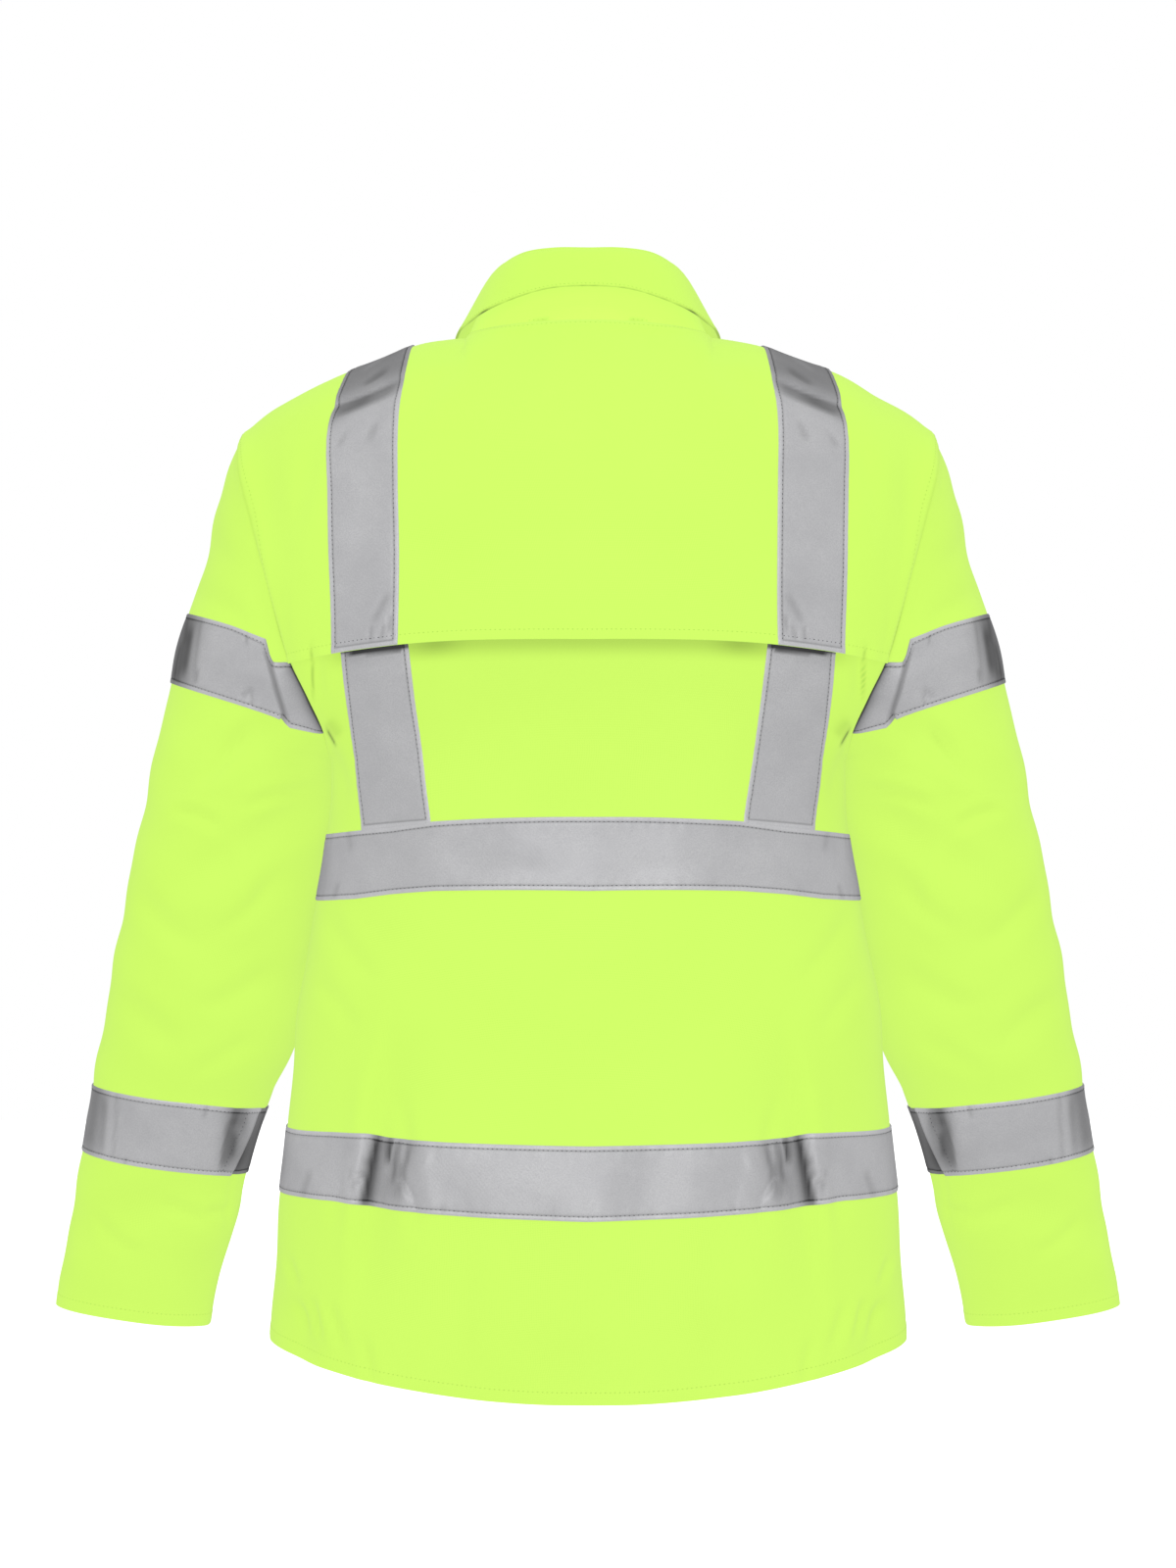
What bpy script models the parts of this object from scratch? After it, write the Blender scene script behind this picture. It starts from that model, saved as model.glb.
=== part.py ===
"""Hi-vis work jacket with a vented cape back, in the hollow form that it has when it is worn.

Metres, +Z up. The front faces -Y and the wearer's left is +X. The origin is where the wearer's
shoulders hold the jacket: the middle of the neck opening, level with its two shoulder ends.

Every panel is a grid of points on its outer face, one row for each section up the garment. A wall is
that grid and its copy moved in. A tape is part of its panel's grid, moved out.
"""

import math
from collections import namedtuple

import bmesh
import bpy
from mathutils import Matrix, Vector

# ---------------------------------------------------------------- driving dimensions
PART_NAME = "hi_vis_work_jacket"

CLOTH_WALL = 0.0012
CAPE_AIR = 0.0012
COLLAR_WALL = 0.0018
TAPE_WALL = 0.0009
SEAM_GAP = 0.0003

ROUNDNESS = 2.3
NECK_HALF_WIDTH = 0.090
NECK_SIDE_Y = 0.005
NECK_STEPS = 5
TAPE_STEPS = 3
SIDE_STEPS = 4
ARM_STEPS = 10

ZIP_EDGE_X = 0.0052
ZIP_CHAIN_X = 0.0032
ZIP_TAPE_X = 0.0150
ZIP_CHAIN_RISE = 0.0008
ZIP_TAPE_DEPTH = 0.0018
ZIP_TAPE_WALL = 0.0008
ZIP_END_INSET = 0.0010

# Just under the shoulder the cloth is over a fuller form than the neck hole's own outline.
NECK_SOFTENING = 8
SOFT_NECK_HALF_WIDTH = 0.135
NECK_FRONT_CURVE = 1.5
NECK_COLUMN_SHARE = 0.74
# Down to this drop the cloth rolls over the shoulder: less at the shoulder's end than by the neck.
ROLL_DROP = 0.18
ROLL_DROP_LESS = 0.09
ROUND_OVER_X = 0.04
ROUND_OVER_REACH = 0.09
LEVEL_CURVE = 2.6
DROP_CURVE = 1.5
PLAN_DEPTH = 0.14

CAPE_STAND_OFF = 0.015
CAPE_EDGE_INSET = 0.0020
CAPE_TAPE_EDGE_INSET = 0.0030

SLIDER_LENGTH = 0.0120
SLIDER_PLATE_WALL = 0.0014
SLIDER_WALL = 0.0011
SLIDER_CLEAR = 0.0003
BRIDGE_HALF_WIDTH = 0.0012
BRIDGE_HALF_LENGTH = 0.0040
BRIDGE_WALL = 0.0012
BRIDGE_ROOM = 0.0021
PULL_HALF_WIDTH = 0.0036
PULL_LENGTH = 0.0280
PULL_WALL = 0.0014
PULL_EYE_HALF_WIDTH = 0.0017
PULL_EYE_LENGTH = 0.0052
PULL_ROUNDING = 0.0004

# ---------------------------------------------------------------- the cut of the body
BodyRow = namedtuple("BodyRow", "name back_z side_z front_z half_width back_depth front_depth")

# From the hem up to the last row below the armhole.
BODY_ROWS = (
    BodyRow("hem", -0.7705, -0.7420, -0.7420, 0.2370, 0.1500, 0.1300),
    BodyRow("skirt", -0.7060, -0.6900, -0.6900, 0.2335, 0.1490, 0.1310),
    BodyRow("hem_tape_bottom", -0.6420, -0.6380, -0.6380, 0.2298, 0.1470, 0.1310),
    BodyRow("hem_tape_top", -0.5885, -0.5876, -0.5880, 0.2250, 0.1430, 0.1300),
    BodyRow("seat", -0.5430, -0.5450, -0.5440, 0.2212, 0.1380, 0.1280),
    BodyRow("hip", -0.4980, -0.5030, -0.5000, 0.2175, 0.1330, 0.1260),
    BodyRow("below_waist", -0.4530, -0.4610, -0.4560, 0.2110, 0.1280, 0.1245),
    BodyRow("waist_tape_bottom", -0.4085, -0.4180, -0.4110, 0.2035, 0.1245, 0.1235),
    BodyRow("waist_tape_top", -0.3560, -0.3690, -0.3590, 0.1945, 0.1235, 0.1235),
    BodyRow("above_waist", -0.3270, -0.3430, -0.3290, 0.1925, 0.1265, 0.1255),
)

# Centre-line heights and depths of the rows that end on the armhole, from the armpit up. A row's
# fullness squares its curve, and its slant is the share that it takes of the neck and shoulder line.
YokeRow = namedtuple("YokeRow", "name back_z back_depth front_z front_depth fullness slant")

YOKE_ROWS = (
    YokeRow("armpit", -0.3000, 0.1295, -0.3020, 0.1280, 1.00, 0.00),
    YokeRow("arm_low", -0.2830, 0.1315, -0.2870, 0.1295, 1.08, 0.02),
    YokeRow("arm_tape_bottom", -0.2670, 0.1335, -0.2730, 0.1305, 1.16, 0.04),
    YokeRow("arm_tape_middle", -0.2500, 0.1350, -0.2580, 0.1310, 1.24, 0.07),
    YokeRow("cape_hem", -0.2285, 0.1370, -0.2400, 0.1310, 1.32, 0.12),
    YokeRow("blade", -0.1750, 0.1385, -0.2050, 0.1290, 1.42, 0.25),
    YokeRow("upper_back", -0.1180, 0.1340, -0.1680, 0.1220, 1.50, 0.45),
    YokeRow("shoulder_low", -0.0720, 0.1220, -0.1370, 0.1120, 1.50, 0.65),
    YokeRow("shoulder_middle", -0.0370, 0.1050, -0.1130, 0.1010, 1.50, 0.82),
    YokeRow("shoulder_high", -0.0120, 0.0880, -0.0930, 0.0910, 1.50, 0.93),
    YokeRow("shoulder_seam", 0.0060, 0.0720, -0.0750, 0.0820, 1.50, 1.00),
)
BLADE_ROW = 5

ShoulderPoint = namedtuple("ShoulderPoint", "x z")
SHOULDER_LINE = (
    ShoulderPoint(0.090, 0.0000),
    ShoulderPoint(0.128, -0.0074),
    ShoulderPoint(0.176, -0.0250),
    ShoulderPoint(0.202, -0.0380),
    ShoulderPoint(0.244, -0.0600),
    ShoulderPoint(0.259, -0.0760),
)

TapeEdge = namedtuple("TapeEdge", "z inner outer")
BACK_TAPE_EDGES = (
    TapeEdge(-0.770, 0.1180, 0.1700),
    TapeEdge(-0.356, 0.1120, 0.1640),
    TapeEdge(-0.228, 0.1280, 0.1770),
    TapeEdge(-0.175, 0.1365, 0.1853),
    TapeEdge(-0.070, 0.1365, 0.1865),
    TapeEdge(0.006, 0.1280, 0.1760),
)
CAPE_TAPE_EDGES = (TapeEdge(-0.228, 0.1365, 0.1835),) + BACK_TAPE_EDGES[3:]
FRONT_TAPE_EDGES = (
    TapeEdge(-0.742, 0.112, 0.164),
    TapeEdge(-0.359, 0.112, 0.164),
    TapeEdge(-0.200, 0.118, 0.168),
    TapeEdge(-0.075, 0.128, 0.176),
)

# ---------------------------------------------------------------- the cut of the left sleeve
# Outer and inner points are on the sleeve's two outlines, seen from the back. On a row that ends on
# the armhole, the inner point is the seam, and the row spans that many degrees each way of its outside.
SleeveRow = namedtuple(
    "SleeveRow", "name outer_x outer_z inner_x inner_z span mid_y back_depth front_depth"
)

SLEEVE_ROWS = (
    SleeveRow("cuff", 0.4075, -0.7280, 0.2895, -0.7440, 180, -0.058, 0.045, 0.045),
    SleeveRow("cuff_top", 0.4010, -0.6940, 0.2820, -0.7080, 180, -0.055, 0.049, 0.049),
    SleeveRow("wrist", 0.3925, -0.6500, 0.2695, -0.6680, 180, -0.050, 0.054, 0.053),
    SleeveRow("forearm_tape_bottom", 0.3835, -0.6090, 0.2600, -0.6270, 180, -0.044, 0.058, 0.056),
    SleeveRow("forearm_tape_top", 0.3745, -0.5580, 0.2440, -0.5760, 180, -0.036, 0.062, 0.060),
    SleeveRow("forearm", 0.3665, -0.5200, 0.2290, -0.5390, 180, -0.028, 0.067, 0.065),
    SleeveRow("elbow_low", 0.3590, -0.4800, 0.2212, -0.5000, 180, -0.020, 0.069, 0.068),
    SleeveRow("elbow", 0.3510, -0.4400, 0.2150, -0.4580, 180, -0.012, 0.071, 0.070),
    SleeveRow("elbow_high", 0.3430, -0.4000, 0.2090, -0.4160, 180, -0.006, 0.072, 0.071),
    SleeveRow("upper_arm", 0.3360, -0.3680, 0.2020, -0.3800, 180, -0.002, 0.073, 0.072),
    SleeveRow("under_armpit", 0.3300, -0.3400, 0.1968, -0.3470, 180, 0.000, 0.075, 0.073),
    SleeveRow("armpit", 0.3245, -0.3130, 0.1925, -0.3180, 180, 0.000, 0.077, 0.074),
    SleeveRow("arm_low", 0.3180, -0.2850, 0.1920, -0.3085, 162, 0.000, 0.079, 0.076),
    SleeveRow("arm_tape_bottom", 0.3120, -0.2560, 0.1940, -0.2930, 142, 0.000, 0.082, 0.078),
    SleeveRow("arm_tape_middle", 0.3055, -0.2310, 0.2030, -0.2700, 118, 0.000, 0.088, 0.082),
    SleeveRow("arm_tape_top", 0.2990, -0.2050, 0.2150, -0.2440, 98, 0.000, 0.088, 0.083),
    SleeveRow("cap_wide", 0.2830, -0.1600, 0.2320, -0.1850, 78, 0.000, 0.088, 0.084),
    SleeveRow("cap_middle", 0.2765, -0.1240, 0.2470, -0.1330, 60, 0.000, 0.088, 0.084),
    SleeveRow("cap_high", 0.2700, -0.1010, 0.2555, -0.1030, 44, 0.000, 0.088, 0.084),
    SleeveRow("cap_top", 0.2645, -0.0880, 0.2580, -0.0870, 28, 0.000, 0.088, 0.084),
    SleeveRow("crown", 0.2605, -0.0800, 0.2590, -0.0790, 14, 0.000, 0.088, 0.084),
    SleeveRow("shoulder_point", 0.2590, -0.0760, 0.2590, -0.0760, 0, 0.000, 0.000, 0.000),
)
ARMPIT_ROW = 11
FULL_TURN_SPAN = 180

# ---------------------------------------------------------------- the cut of the collar
# Half of the collar, from the centre back to the centre front, by the angle round the neck.
CollarSection = namedtuple("CollarSection", "fold_x fold_y fold_z edge_x edge_y edge_z")

COLLAR_SECTIONS = (
    CollarSection(0.0000, 0.0660, 0.0585, 0.0000, 0.0800, 0.0297),
    CollarSection(0.0245, 0.0625, 0.0595, 0.0290, 0.0780, 0.0280),
    CollarSection(0.0460, 0.0520, 0.0590, 0.0560, 0.0700, 0.0215),
    CollarSection(0.0620, 0.0350, 0.0560, 0.0755, 0.0560, 0.0150),
    CollarSection(0.0705, 0.0140, 0.0500, 0.0890, 0.0330, 0.0085),
    CollarSection(0.0725, -0.0080, 0.0410, 0.0985, 0.0020, 0.0055),
    CollarSection(0.0690, -0.0300, 0.0290, 0.1025, -0.0330, -0.0066),
    CollarSection(0.0590, -0.0520, 0.0150, 0.0968, -0.0655, -0.0280),
    CollarSection(0.0440, -0.0700, -0.0010, 0.0810, -0.0880, -0.0550),
    CollarSection(0.0260, -0.0820, -0.0180, 0.0590, -0.1010, -0.0780),
    CollarSection(0.0065, -0.0880, -0.0340, 0.0360, -0.1070, -0.0930),
)
STAND_SHARES = (0.0, 0.35, 0.7, 1.0)
FALL_SHARES = (0.0, 0.12, 0.36, 0.68, 1.0)
STAND_TOP_INSET = 0.0023
STAND_TOP_DROP = 0.0008
FALL_BULGE = 0.006

# ---------------------------------------------------------------- the largest folds
# A body fold runs up and down at one distance from the centre line, on both sides of the back.
BodyFold = namedtuple("BodyFold", "x top_z bottom_z half_width depth")
BODY_FOLDS = (
    BodyFold(0.150, -0.530, -0.640, 0.017, -0.0090),
    BodyFold(0.124, -0.520, -0.640, 0.015, 0.0040),
    BodyFold(0.045, -0.480, -0.700, 0.030, -0.0025),
)
FOLD_FADE = 0.045
FOLD_LEFT_AT_HEM = 0.6

# A sleeve fold crosses the sleeve at a height, centred on an angle round it from the outside.
SleeveFold = namedtuple("SleeveFold", "z angle half_angle half_height slant depth")
SLEEVE_FOLDS = (
    SleeveFold(-0.300, 95, 60, 0.018, 0.0006, -0.0045),
    SleeveFold(-0.375, 110, 55, 0.020, 0.0007, -0.0060),
    SleeveFold(-0.455, 100, 60, 0.022, -0.0004, -0.0040),
    SleeveFold(-0.500, -95, 60, 0.024, 0.0005, -0.0060),
    SleeveFold(-0.400, -105, 55, 0.022, -0.0006, -0.0050),
    SleeveFold(-0.655, 70, 70, 0.020, 0.0004, -0.0035),
)

# ---------------------------------------------------------------- colours, linear
FLUORESCENT_YELLOW = (0.63, 1.0, 0.14, 1.0)
REFLECTIVE_SILVER = (0.50, 0.50, 0.51, 1.0)
ZIP_YELLOW = (0.55, 0.85, 0.12, 1.0)
DARK_METAL = (0.20, 0.20, 0.21, 1.0)


# ---------------------------------------------------------------- scene and materials
def clear_scene():
    for old in list(bpy.data.objects):
        bpy.data.objects.remove(old, do_unlink=True)


def make_collection(name):
    collection = bpy.data.collections.new(name)
    bpy.context.scene.collection.children.link(collection)
    return collection


def make_material(name, colour, roughness, metallic=0.0):
    material = bpy.data.materials.new(name)
    material.use_nodes = True
    shader = material.node_tree.nodes["Principled BSDF"]
    shader.inputs["Base Color"].default_value = colour
    shader.inputs["Roughness"].default_value = roughness
    shader.inputs["Metallic"].default_value = metallic
    return material


def add_object(name, mesh, material, collection):
    mesh.materials.append(material)
    mesh.shade_smooth()
    mesh.set_sharp_from_angle(angle=math.radians(50))
    piece = bpy.data.objects.new(name, mesh)
    collection.objects.link(piece)
    return piece


# ---------------------------------------------------------------- small sums
def mix(start, end, share):
    return start + (end - start) * share


def smooth_step(value):
    value = min(max(value, 0.0), 1.0)
    return value * value * (3 - 2 * value)


def between(table, key, column, value):
    """Straight-line reading of one named column of a table that is sorted by its key."""
    if value <= getattr(table[0], key):
        return getattr(table[0], column)
    for low, high in zip(table, table[1:]):
        if value <= getattr(high, key):
            share = (value - getattr(low, key)) / (getattr(high, key) - getattr(low, key))
            return mix(getattr(low, column), getattr(high, column), share)
    return getattr(table[-1], column)


def bump(distance, half_width):
    """A soft hump, 1 in its middle and 0 from one and a half times its half width on."""
    share = abs(distance) / (1.5 * half_width)
    return 0.5 * (1 + math.cos(math.pi * share)) if share < 1 else 0.0


# ---------------------------------------------------------------- grids of cloth
class ClothGrid:
    """Points and normals over one cut panel, seen from outside: rows run up, columns left to right."""

    def __init__(self, rows, normals=None, pulls=None):
        self.rows = rows
        self.normals = normals
        self.pulls = pulls

    def part(self, first_row, last_row, first_column, last_column):
        cut = [
            [row[first_column:last_column + 1] for row in values[first_row:last_row + 1]]
            for values in (self.rows, self.normals, self.pulls)
        ]
        return ClothGrid(*cut)

    def mirrored(self):
        flip = Vector((-1, 1, 1))
        return ClothGrid([[point * flip for point in reversed(row)] for row in self.rows])

    def moved_out(self, distance_at):
        """The same grid moved out along its normals, by a distance for each row and point."""
        return ClothGrid([
            [point + normal * distance_at(row_index, point) for point, normal in zip(row, normals)]
            for row_index, (row, normals) in enumerate(zip(self.rows, self.normals))
        ])

    def sewn(self, gap):
        """The same grid drawn back from its seams by half a gap."""
        rows = [
            [point + pull * gap / 2 for point, pull in zip(row, pulls)]
            for row, pulls in zip(self.rows, self.pulls)
        ]
        return ClothGrid(rows, self.normals, self.pulls)

    def pulled_in(self, left=0.0, right=0.0, bottom=0.0, top=0.0):
        """The same grid with its edges drawn towards its middle."""
        last_row = len(self.rows) - 1
        last_column = len(self.rows[0]) - 1
        rows = [[point.copy() for point in row] for row in self.rows]
        for row_index, row in enumerate(self.rows):
            for column, point in enumerate(row):
                shift = Vector()
                if column == 0 and left:
                    shift += (row[1] - point).normalized() * left
                if column == last_column and right:
                    shift += (row[-2] - point).normalized() * right
                if row_index == 0 and bottom:
                    shift += (self.rows[1][column] - point).normalized() * bottom
                if row_index == last_row and top:
                    shift += (self.rows[-2][column] - point).normalized() * top
                rows[row_index][column] = point + shift
        return ClothGrid(rows, self.normals, self.pulls)


def point_key(point):
    return tuple(round(value * 1e7) for value in point)


def cell_triangles(rows):
    """The triangles of a grid as pairs of row and column, each cell split along the same diagonal."""
    for row in range(len(rows) - 1):
        for column in range(len(rows[0]) - 1):
            low_left = (row, column)
            low_right = (row, column + 1)
            high_right = (row + 1, column + 1)
            high_left = (row + 1, column)
            yield low_left, low_right, high_right
            yield low_left, high_right, high_left


def edge_sums(grid):
    """For each point of a grid, the sum of its faces' normals and the way to their middles."""
    normals = {}
    inward = {}
    for corners in cell_triangles(grid.rows):
        a, b, c = (grid.rows[row][column] for row, column in corners)
        keys = [point_key(point) for point in (a, b, c)]
        if len(set(keys)) < 3:
            continue
        middle = (a + b + c) / 3
        for key, point in zip(keys, (a, b, c)):
            normals[key] = normals.get(key, Vector()) + (b - a).cross(c - a)
            inward[key] = inward.get(key, Vector()) + (middle - point)
    return (
        {key: normal.normalized() for key, normal in normals.items()},
        {key: way.normalized() for key, way in inward.items()},
        normals,
    )


def sew_together(grids):
    """Find each grid's normals and seam pulls.

    At a seam the normals are those of both pieces together, so their walls meet in a mitre, except
    where the pieces lie face to face, as under the arm. A pull is the direction away from the other
    pieces of a seam, and nothing away from a seam.
    """
    found = [edge_sums(grid) for grid in grids]
    for grid, (normals, inward, sums) in zip(grids, found):
        grid.normals = []
        grid.pulls = []
        for row in grid.rows:
            row_normals = []
            row_pulls = []
            for key in (point_key(point) for point in row):
                met = [other for other in found if other[0] is not normals and key in other[0]]
                total = sums[key].copy()
                pull = Vector()
                for other_normals, other_inward, other_sums in met:
                    if other_normals[key].dot(normals[key]) > 0:
                        total += other_sums[key]
                    pull -= other_inward[key] / len(met)
                if met:
                    pull += inward[key]
                row_normals.append(total.normalized())
                row_pulls.append(pull.normalized())
            grid.normals.append(row_normals)
            grid.pulls.append(row_pulls)


def wall_mesh(name, grid, face_out, wall):
    """A closed wall: the grid moved out by face_out, and its copy one wall thickness further in.

    The two walls of a seam split their facing edges along the same diagonals, so they stay parallel.
    """
    outer_index = {}
    points = []
    normals = []
    for row, (row_points, row_normals) in enumerate(zip(grid.rows, grid.normals)):
        for column, (point, normal) in enumerate(zip(row_points, row_normals)):
            key = point_key(point)
            if key not in outer_index:
                outer_index[key] = len(points)
                points.append(point)
                normals.append(normal)
    triangles = []
    for corners in cell_triangles(grid.rows):
        a, b, c = (outer_index[point_key(grid.rows[row][column])] for row, column in corners)
        if len({a, b, c}) == 3:
            triangles.append((a, b, c))
    count = len(points)
    vertices = [point + normal * face_out for point, normal in zip(points, normals)]
    vertices += [point + normal * (face_out - wall) for point, normal in zip(points, normals)]
    directed = {(t[i], t[(i + 1) % 3]) for t in triangles for i in range(3)}
    faces = list(triangles)
    faces += [(c + count, b + count, a + count) for a, b, c in triangles]
    for a, b in sorted(directed):
        if (b, a) in directed:
            continue
        if point_key(points[a]) < point_key(points[b]):
            faces += [(b, a, a + count), (b, a + count, b + count)]
        else:
            faces += [(b, a, b + count), (a, a + count, b + count)]
    mesh = bpy.data.meshes.new(name)
    mesh.from_pydata([tuple(vertex) for vertex in vertices], [], faces)
    mesh.validate()
    return mesh


# ---------------------------------------------------------------- the body's form
def sleeve_point(row, angle):
    """A point of the left sleeve. The angle runs from the outside, towards the back if positive."""
    turn = math.radians(angle)
    reach = 1 - math.cos(math.radians(row.span)) if row.span else 1.0
    share = (1 - math.cos(turn)) / reach
    depth = row.back_depth if angle >= 0 else row.front_depth
    return Vector((
        mix(row.outer_x, row.inner_x, share),
        row.mid_y + depth * math.sin(turn),
        mix(row.outer_z, row.inner_z, share),
    ))


def shoulder_top(x, is_back, slant):
    """Height and depth of the neck and shoulder line at a distance from the centre line.

    The seam itself has a slant of 1. A row below it follows the same line with the neck softened.
    """
    row = YOKE_ROWS[-1]
    hole = math.sqrt(max(1 - (x / NECK_HALF_WIDTH) ** 2, 0.0))
    soft = 0.5 * (1 + math.cos(math.pi * min(x / SOFT_NECK_HALF_WIDTH, 1.0)))
    rise = mix(soft, hole, slant ** NECK_SOFTENING)
    reach = max(x - NECK_HALF_WIDTH, 0.0) / (SHOULDER_LINE[-1].x - NECK_HALF_WIDTH)
    side_depth = (NECK_SIDE_Y if is_back else -NECK_SIDE_Y) * (1 - reach)
    side_z = between(SHOULDER_LINE, "x", "z", x)
    if is_back:
        return side_z + row.back_z * rise, mix(side_depth, row.back_depth, rise)
    return side_z + row.front_z * rise ** NECK_FRONT_CURVE, mix(side_depth, row.front_depth, rise)


def side_curve(x, half_width, fullness):
    """1 on the centre line and 0 at the side: the rounded plan of a row."""
    share = min(x / half_width, 1.0)
    return (1 - share ** ROUNDNESS) ** (fullness / ROUNDNESS)


def roll_share(x, drop):
    """How far the cloth has rolled over the shoulder, at a drop below the shoulder line."""
    whole_drop = ROLL_DROP - ROLL_DROP_LESS * min(x / SHOULDER_LINE[-1].x, 1.0)
    share = min(drop / whole_drop, 1.0)
    soft = math.sin(share * math.pi / 2)
    round_over = math.sqrt(1 - (1 - share) ** 2)
    return mix(soft, round_over, smooth_step((x - ROUND_OVER_X) / ROUND_OVER_REACH))


Section = namedtuple("Section", "centre_z depth edge fullness slant")


class BodyHalf:
    """The back or the front of the body, as a function of its row and the distance from the centre."""

    def __init__(self, is_back):
        self.is_back = is_back
        self.sections = []
        for row in BODY_ROWS:
            centre_z = row.back_z if is_back else row.front_z
            depth = row.back_depth if is_back else row.front_depth
            edge = Vector((row.half_width, 0.0, row.side_z))
            self.sections.append(Section(centre_z, depth, edge, 1.0, 0.0))
        for row, sleeve_row in zip(YOKE_ROWS, SLEEVE_ROWS[ARMPIT_ROW:]):
            centre_z = row.back_z if is_back else row.front_z
            depth = row.back_depth if is_back else row.front_depth
            edge = sleeve_point(sleeve_row, sleeve_row.span if is_back else -sleeve_row.span)
            self.sections.append(Section(centre_z, depth, edge, row.fullness, row.slant))

    def edge_depth(self, edge):
        return edge.y if self.is_back else -edge.y

    def low_depth(self, section, x):
        side = self.edge_depth(section.edge)
        return side + (section.depth - side) * side_curve(x, section.edge.x, section.fullness)

    def rolled_depth(self, section, x, z):
        top_z, top_depth = shoulder_top(x, self.is_back, section.slant)
        blade = self.sections[len(BODY_ROWS) + BLADE_ROW]
        full = self.low_depth(blade, min(x, blade.edge.x))
        return top_depth + (full - top_depth) * roll_share(x, max(top_z - z, 0.0))

    def height(self, section, x):
        edge = section.edge
        share = min(x / edge.x, 1.0)
        level = mix(section.centre_z, edge.z, share ** (LEVEL_CURVE if section.slant else 2))
        top_z, centre_top, edge_top = (
            shoulder_top(place, self.is_back, section.slant)[0] for place in (x, 0.0, edge.x)
        )
        drop = mix(centre_top - section.centre_z, edge_top - edge.z, share ** DROP_CURVE)
        return mix(level, top_z - drop, section.slant)

    def point(self, row_index, x):
        section = self.sections[row_index]
        edge = section.edge
        z = self.height(section, x)
        y = self.low_depth(section, x)
        if row_index > len(BODY_ROWS) + BLADE_ROW:
            share = min(x / edge.x, 1.0) ** 2
            centre_error = section.depth - self.rolled_depth(section, 0.0, section.centre_z)
            edge_error = self.edge_depth(edge) - self.rolled_depth(section, edge.x, edge.z)
            y = self.rolled_depth(section, x, z) + mix(centre_error, edge_error, share)
        point = Vector((x, y if self.is_back else -y, z))
        if self.is_back:
            point += self.fold_shift(point, edge.x)
        return point

    def fold_shift(self, point, half_width):
        """The soft troughs and ridges that fall down the back, square to the body's plan."""
        height = 0.0
        for fold in BODY_FOLDS:
            top_fade = smooth_step((fold.top_z - point.z) / FOLD_FADE)
            low_fade = smooth_step((point.z - fold.bottom_z) / (2 * FOLD_FADE) + 1)
            fade = top_fade * mix(FOLD_LEFT_AT_HEM, 1.0, low_fade)
            height += fold.depth * fade * bump(point.x - fold.x, fold.half_width)
        plan = Vector((point.x / half_width ** 2, point.y / PLAN_DEPTH ** 2, 0.0))
        return plan.normalized() * height

    def edge_x(self, row_index):
        return self.sections[row_index].edge.x

    def centre_z(self, row_index):
        return self.sections[row_index].centre_z

    def slant(self, row_index):
        return self.sections[row_index].slant


def column_places(body, row_index, tape_edges, first_x):
    """Distances from the centre line of one row's columns: neck, tape, then side."""
    z = body.centre_z(row_index)
    edge = body.edge_x(row_index)
    inner = between(tape_edges, "z", "inner", z)
    outer = between(tape_edges, "z", "outer", z)
    neck_share = smooth_step(body.slant(row_index)) ** 2
    neck = mix(NECK_COLUMN_SHARE * inner, NECK_HALF_WIDTH, neck_share)
    places = []
    for step in range(NECK_STEPS + 1):
        even = step / NECK_STEPS
        share = mix(even, math.sin(even * math.pi / 2), neck_share)
        places.append(max(neck * share, first_x))
    for step in range(TAPE_STEPS + 1):
        places.append(mix(inner, outer, step / TAPE_STEPS))
    start = math.asin((outer / edge) ** (ROUNDNESS / 2))
    for step in range(1, SIDE_STEPS + 1):
        turn = mix(start, math.pi / 2, step / SIDE_STEPS)
        places.append(edge * math.sin(turn) ** (2 / ROUNDNESS))
    return places


TAPE_FIRST_COLUMN = NECK_STEPS + 1
TAPE_LAST_COLUMN = TAPE_FIRST_COLUMN + TAPE_STEPS
HALF_COLUMNS = TAPE_LAST_COLUMN + SIDE_STEPS


def back_grid(body, tape_edges, first_row=0):
    """The whole back, from the left side seam to the right one."""
    rows = []
    for row_index in range(first_row, len(body.sections)):
        places = column_places(body, row_index, tape_edges, 0.0)
        left = [body.point(row_index, x) for x in places]
        right = [point * Vector((-1, 1, 1)) for point in left[1:]]
        rows.append(list(reversed(left)) + right)
    return ClothGrid(rows)


def front_grid(body):
    """The left front, from the zip to the side seam."""
    rows = []
    for row_index in range(len(body.sections)):
        places = column_places(body, row_index, FRONT_TAPE_EDGES, ZIP_EDGE_X)
        rows.append([body.point(row_index, x) for x in places])
    return ClothGrid(rows)


def sleeve_grid():
    """The left sleeve, from the front of its underarm or armhole seam to the back of it."""
    rows = []
    for row in SLEEVE_ROWS:
        points = []
        for step in range(-ARM_STEPS, ARM_STEPS + 1):
            angle = row.span * step / ARM_STEPS
            point = sleeve_point(row, angle)
            if abs(step) < ARM_STEPS:
                point += sleeve_fold_shift(row, point, angle)
            points.append(point)
        if row.span == FULL_TURN_SPAN:
            points[0] = points[-1].copy()
        rows.append(points)
    return ClothGrid(rows)


def sleeve_fold_shift(row, point, angle):
    centre_x = (row.outer_x + row.inner_x) / 2
    height = 0.0
    for fold in SLEEVE_FOLDS:
        off_angle = angle - fold.angle
        rise = point.z - fold.z - fold.slant * off_angle
        height += fold.depth * bump(off_angle, fold.half_angle) * bump(rise, fold.half_height)
    out = Vector((point.x - centre_x, point.y - row.mid_y, 0.0))
    return out.normalized() * height if out.length > 0 else Vector()


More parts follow.
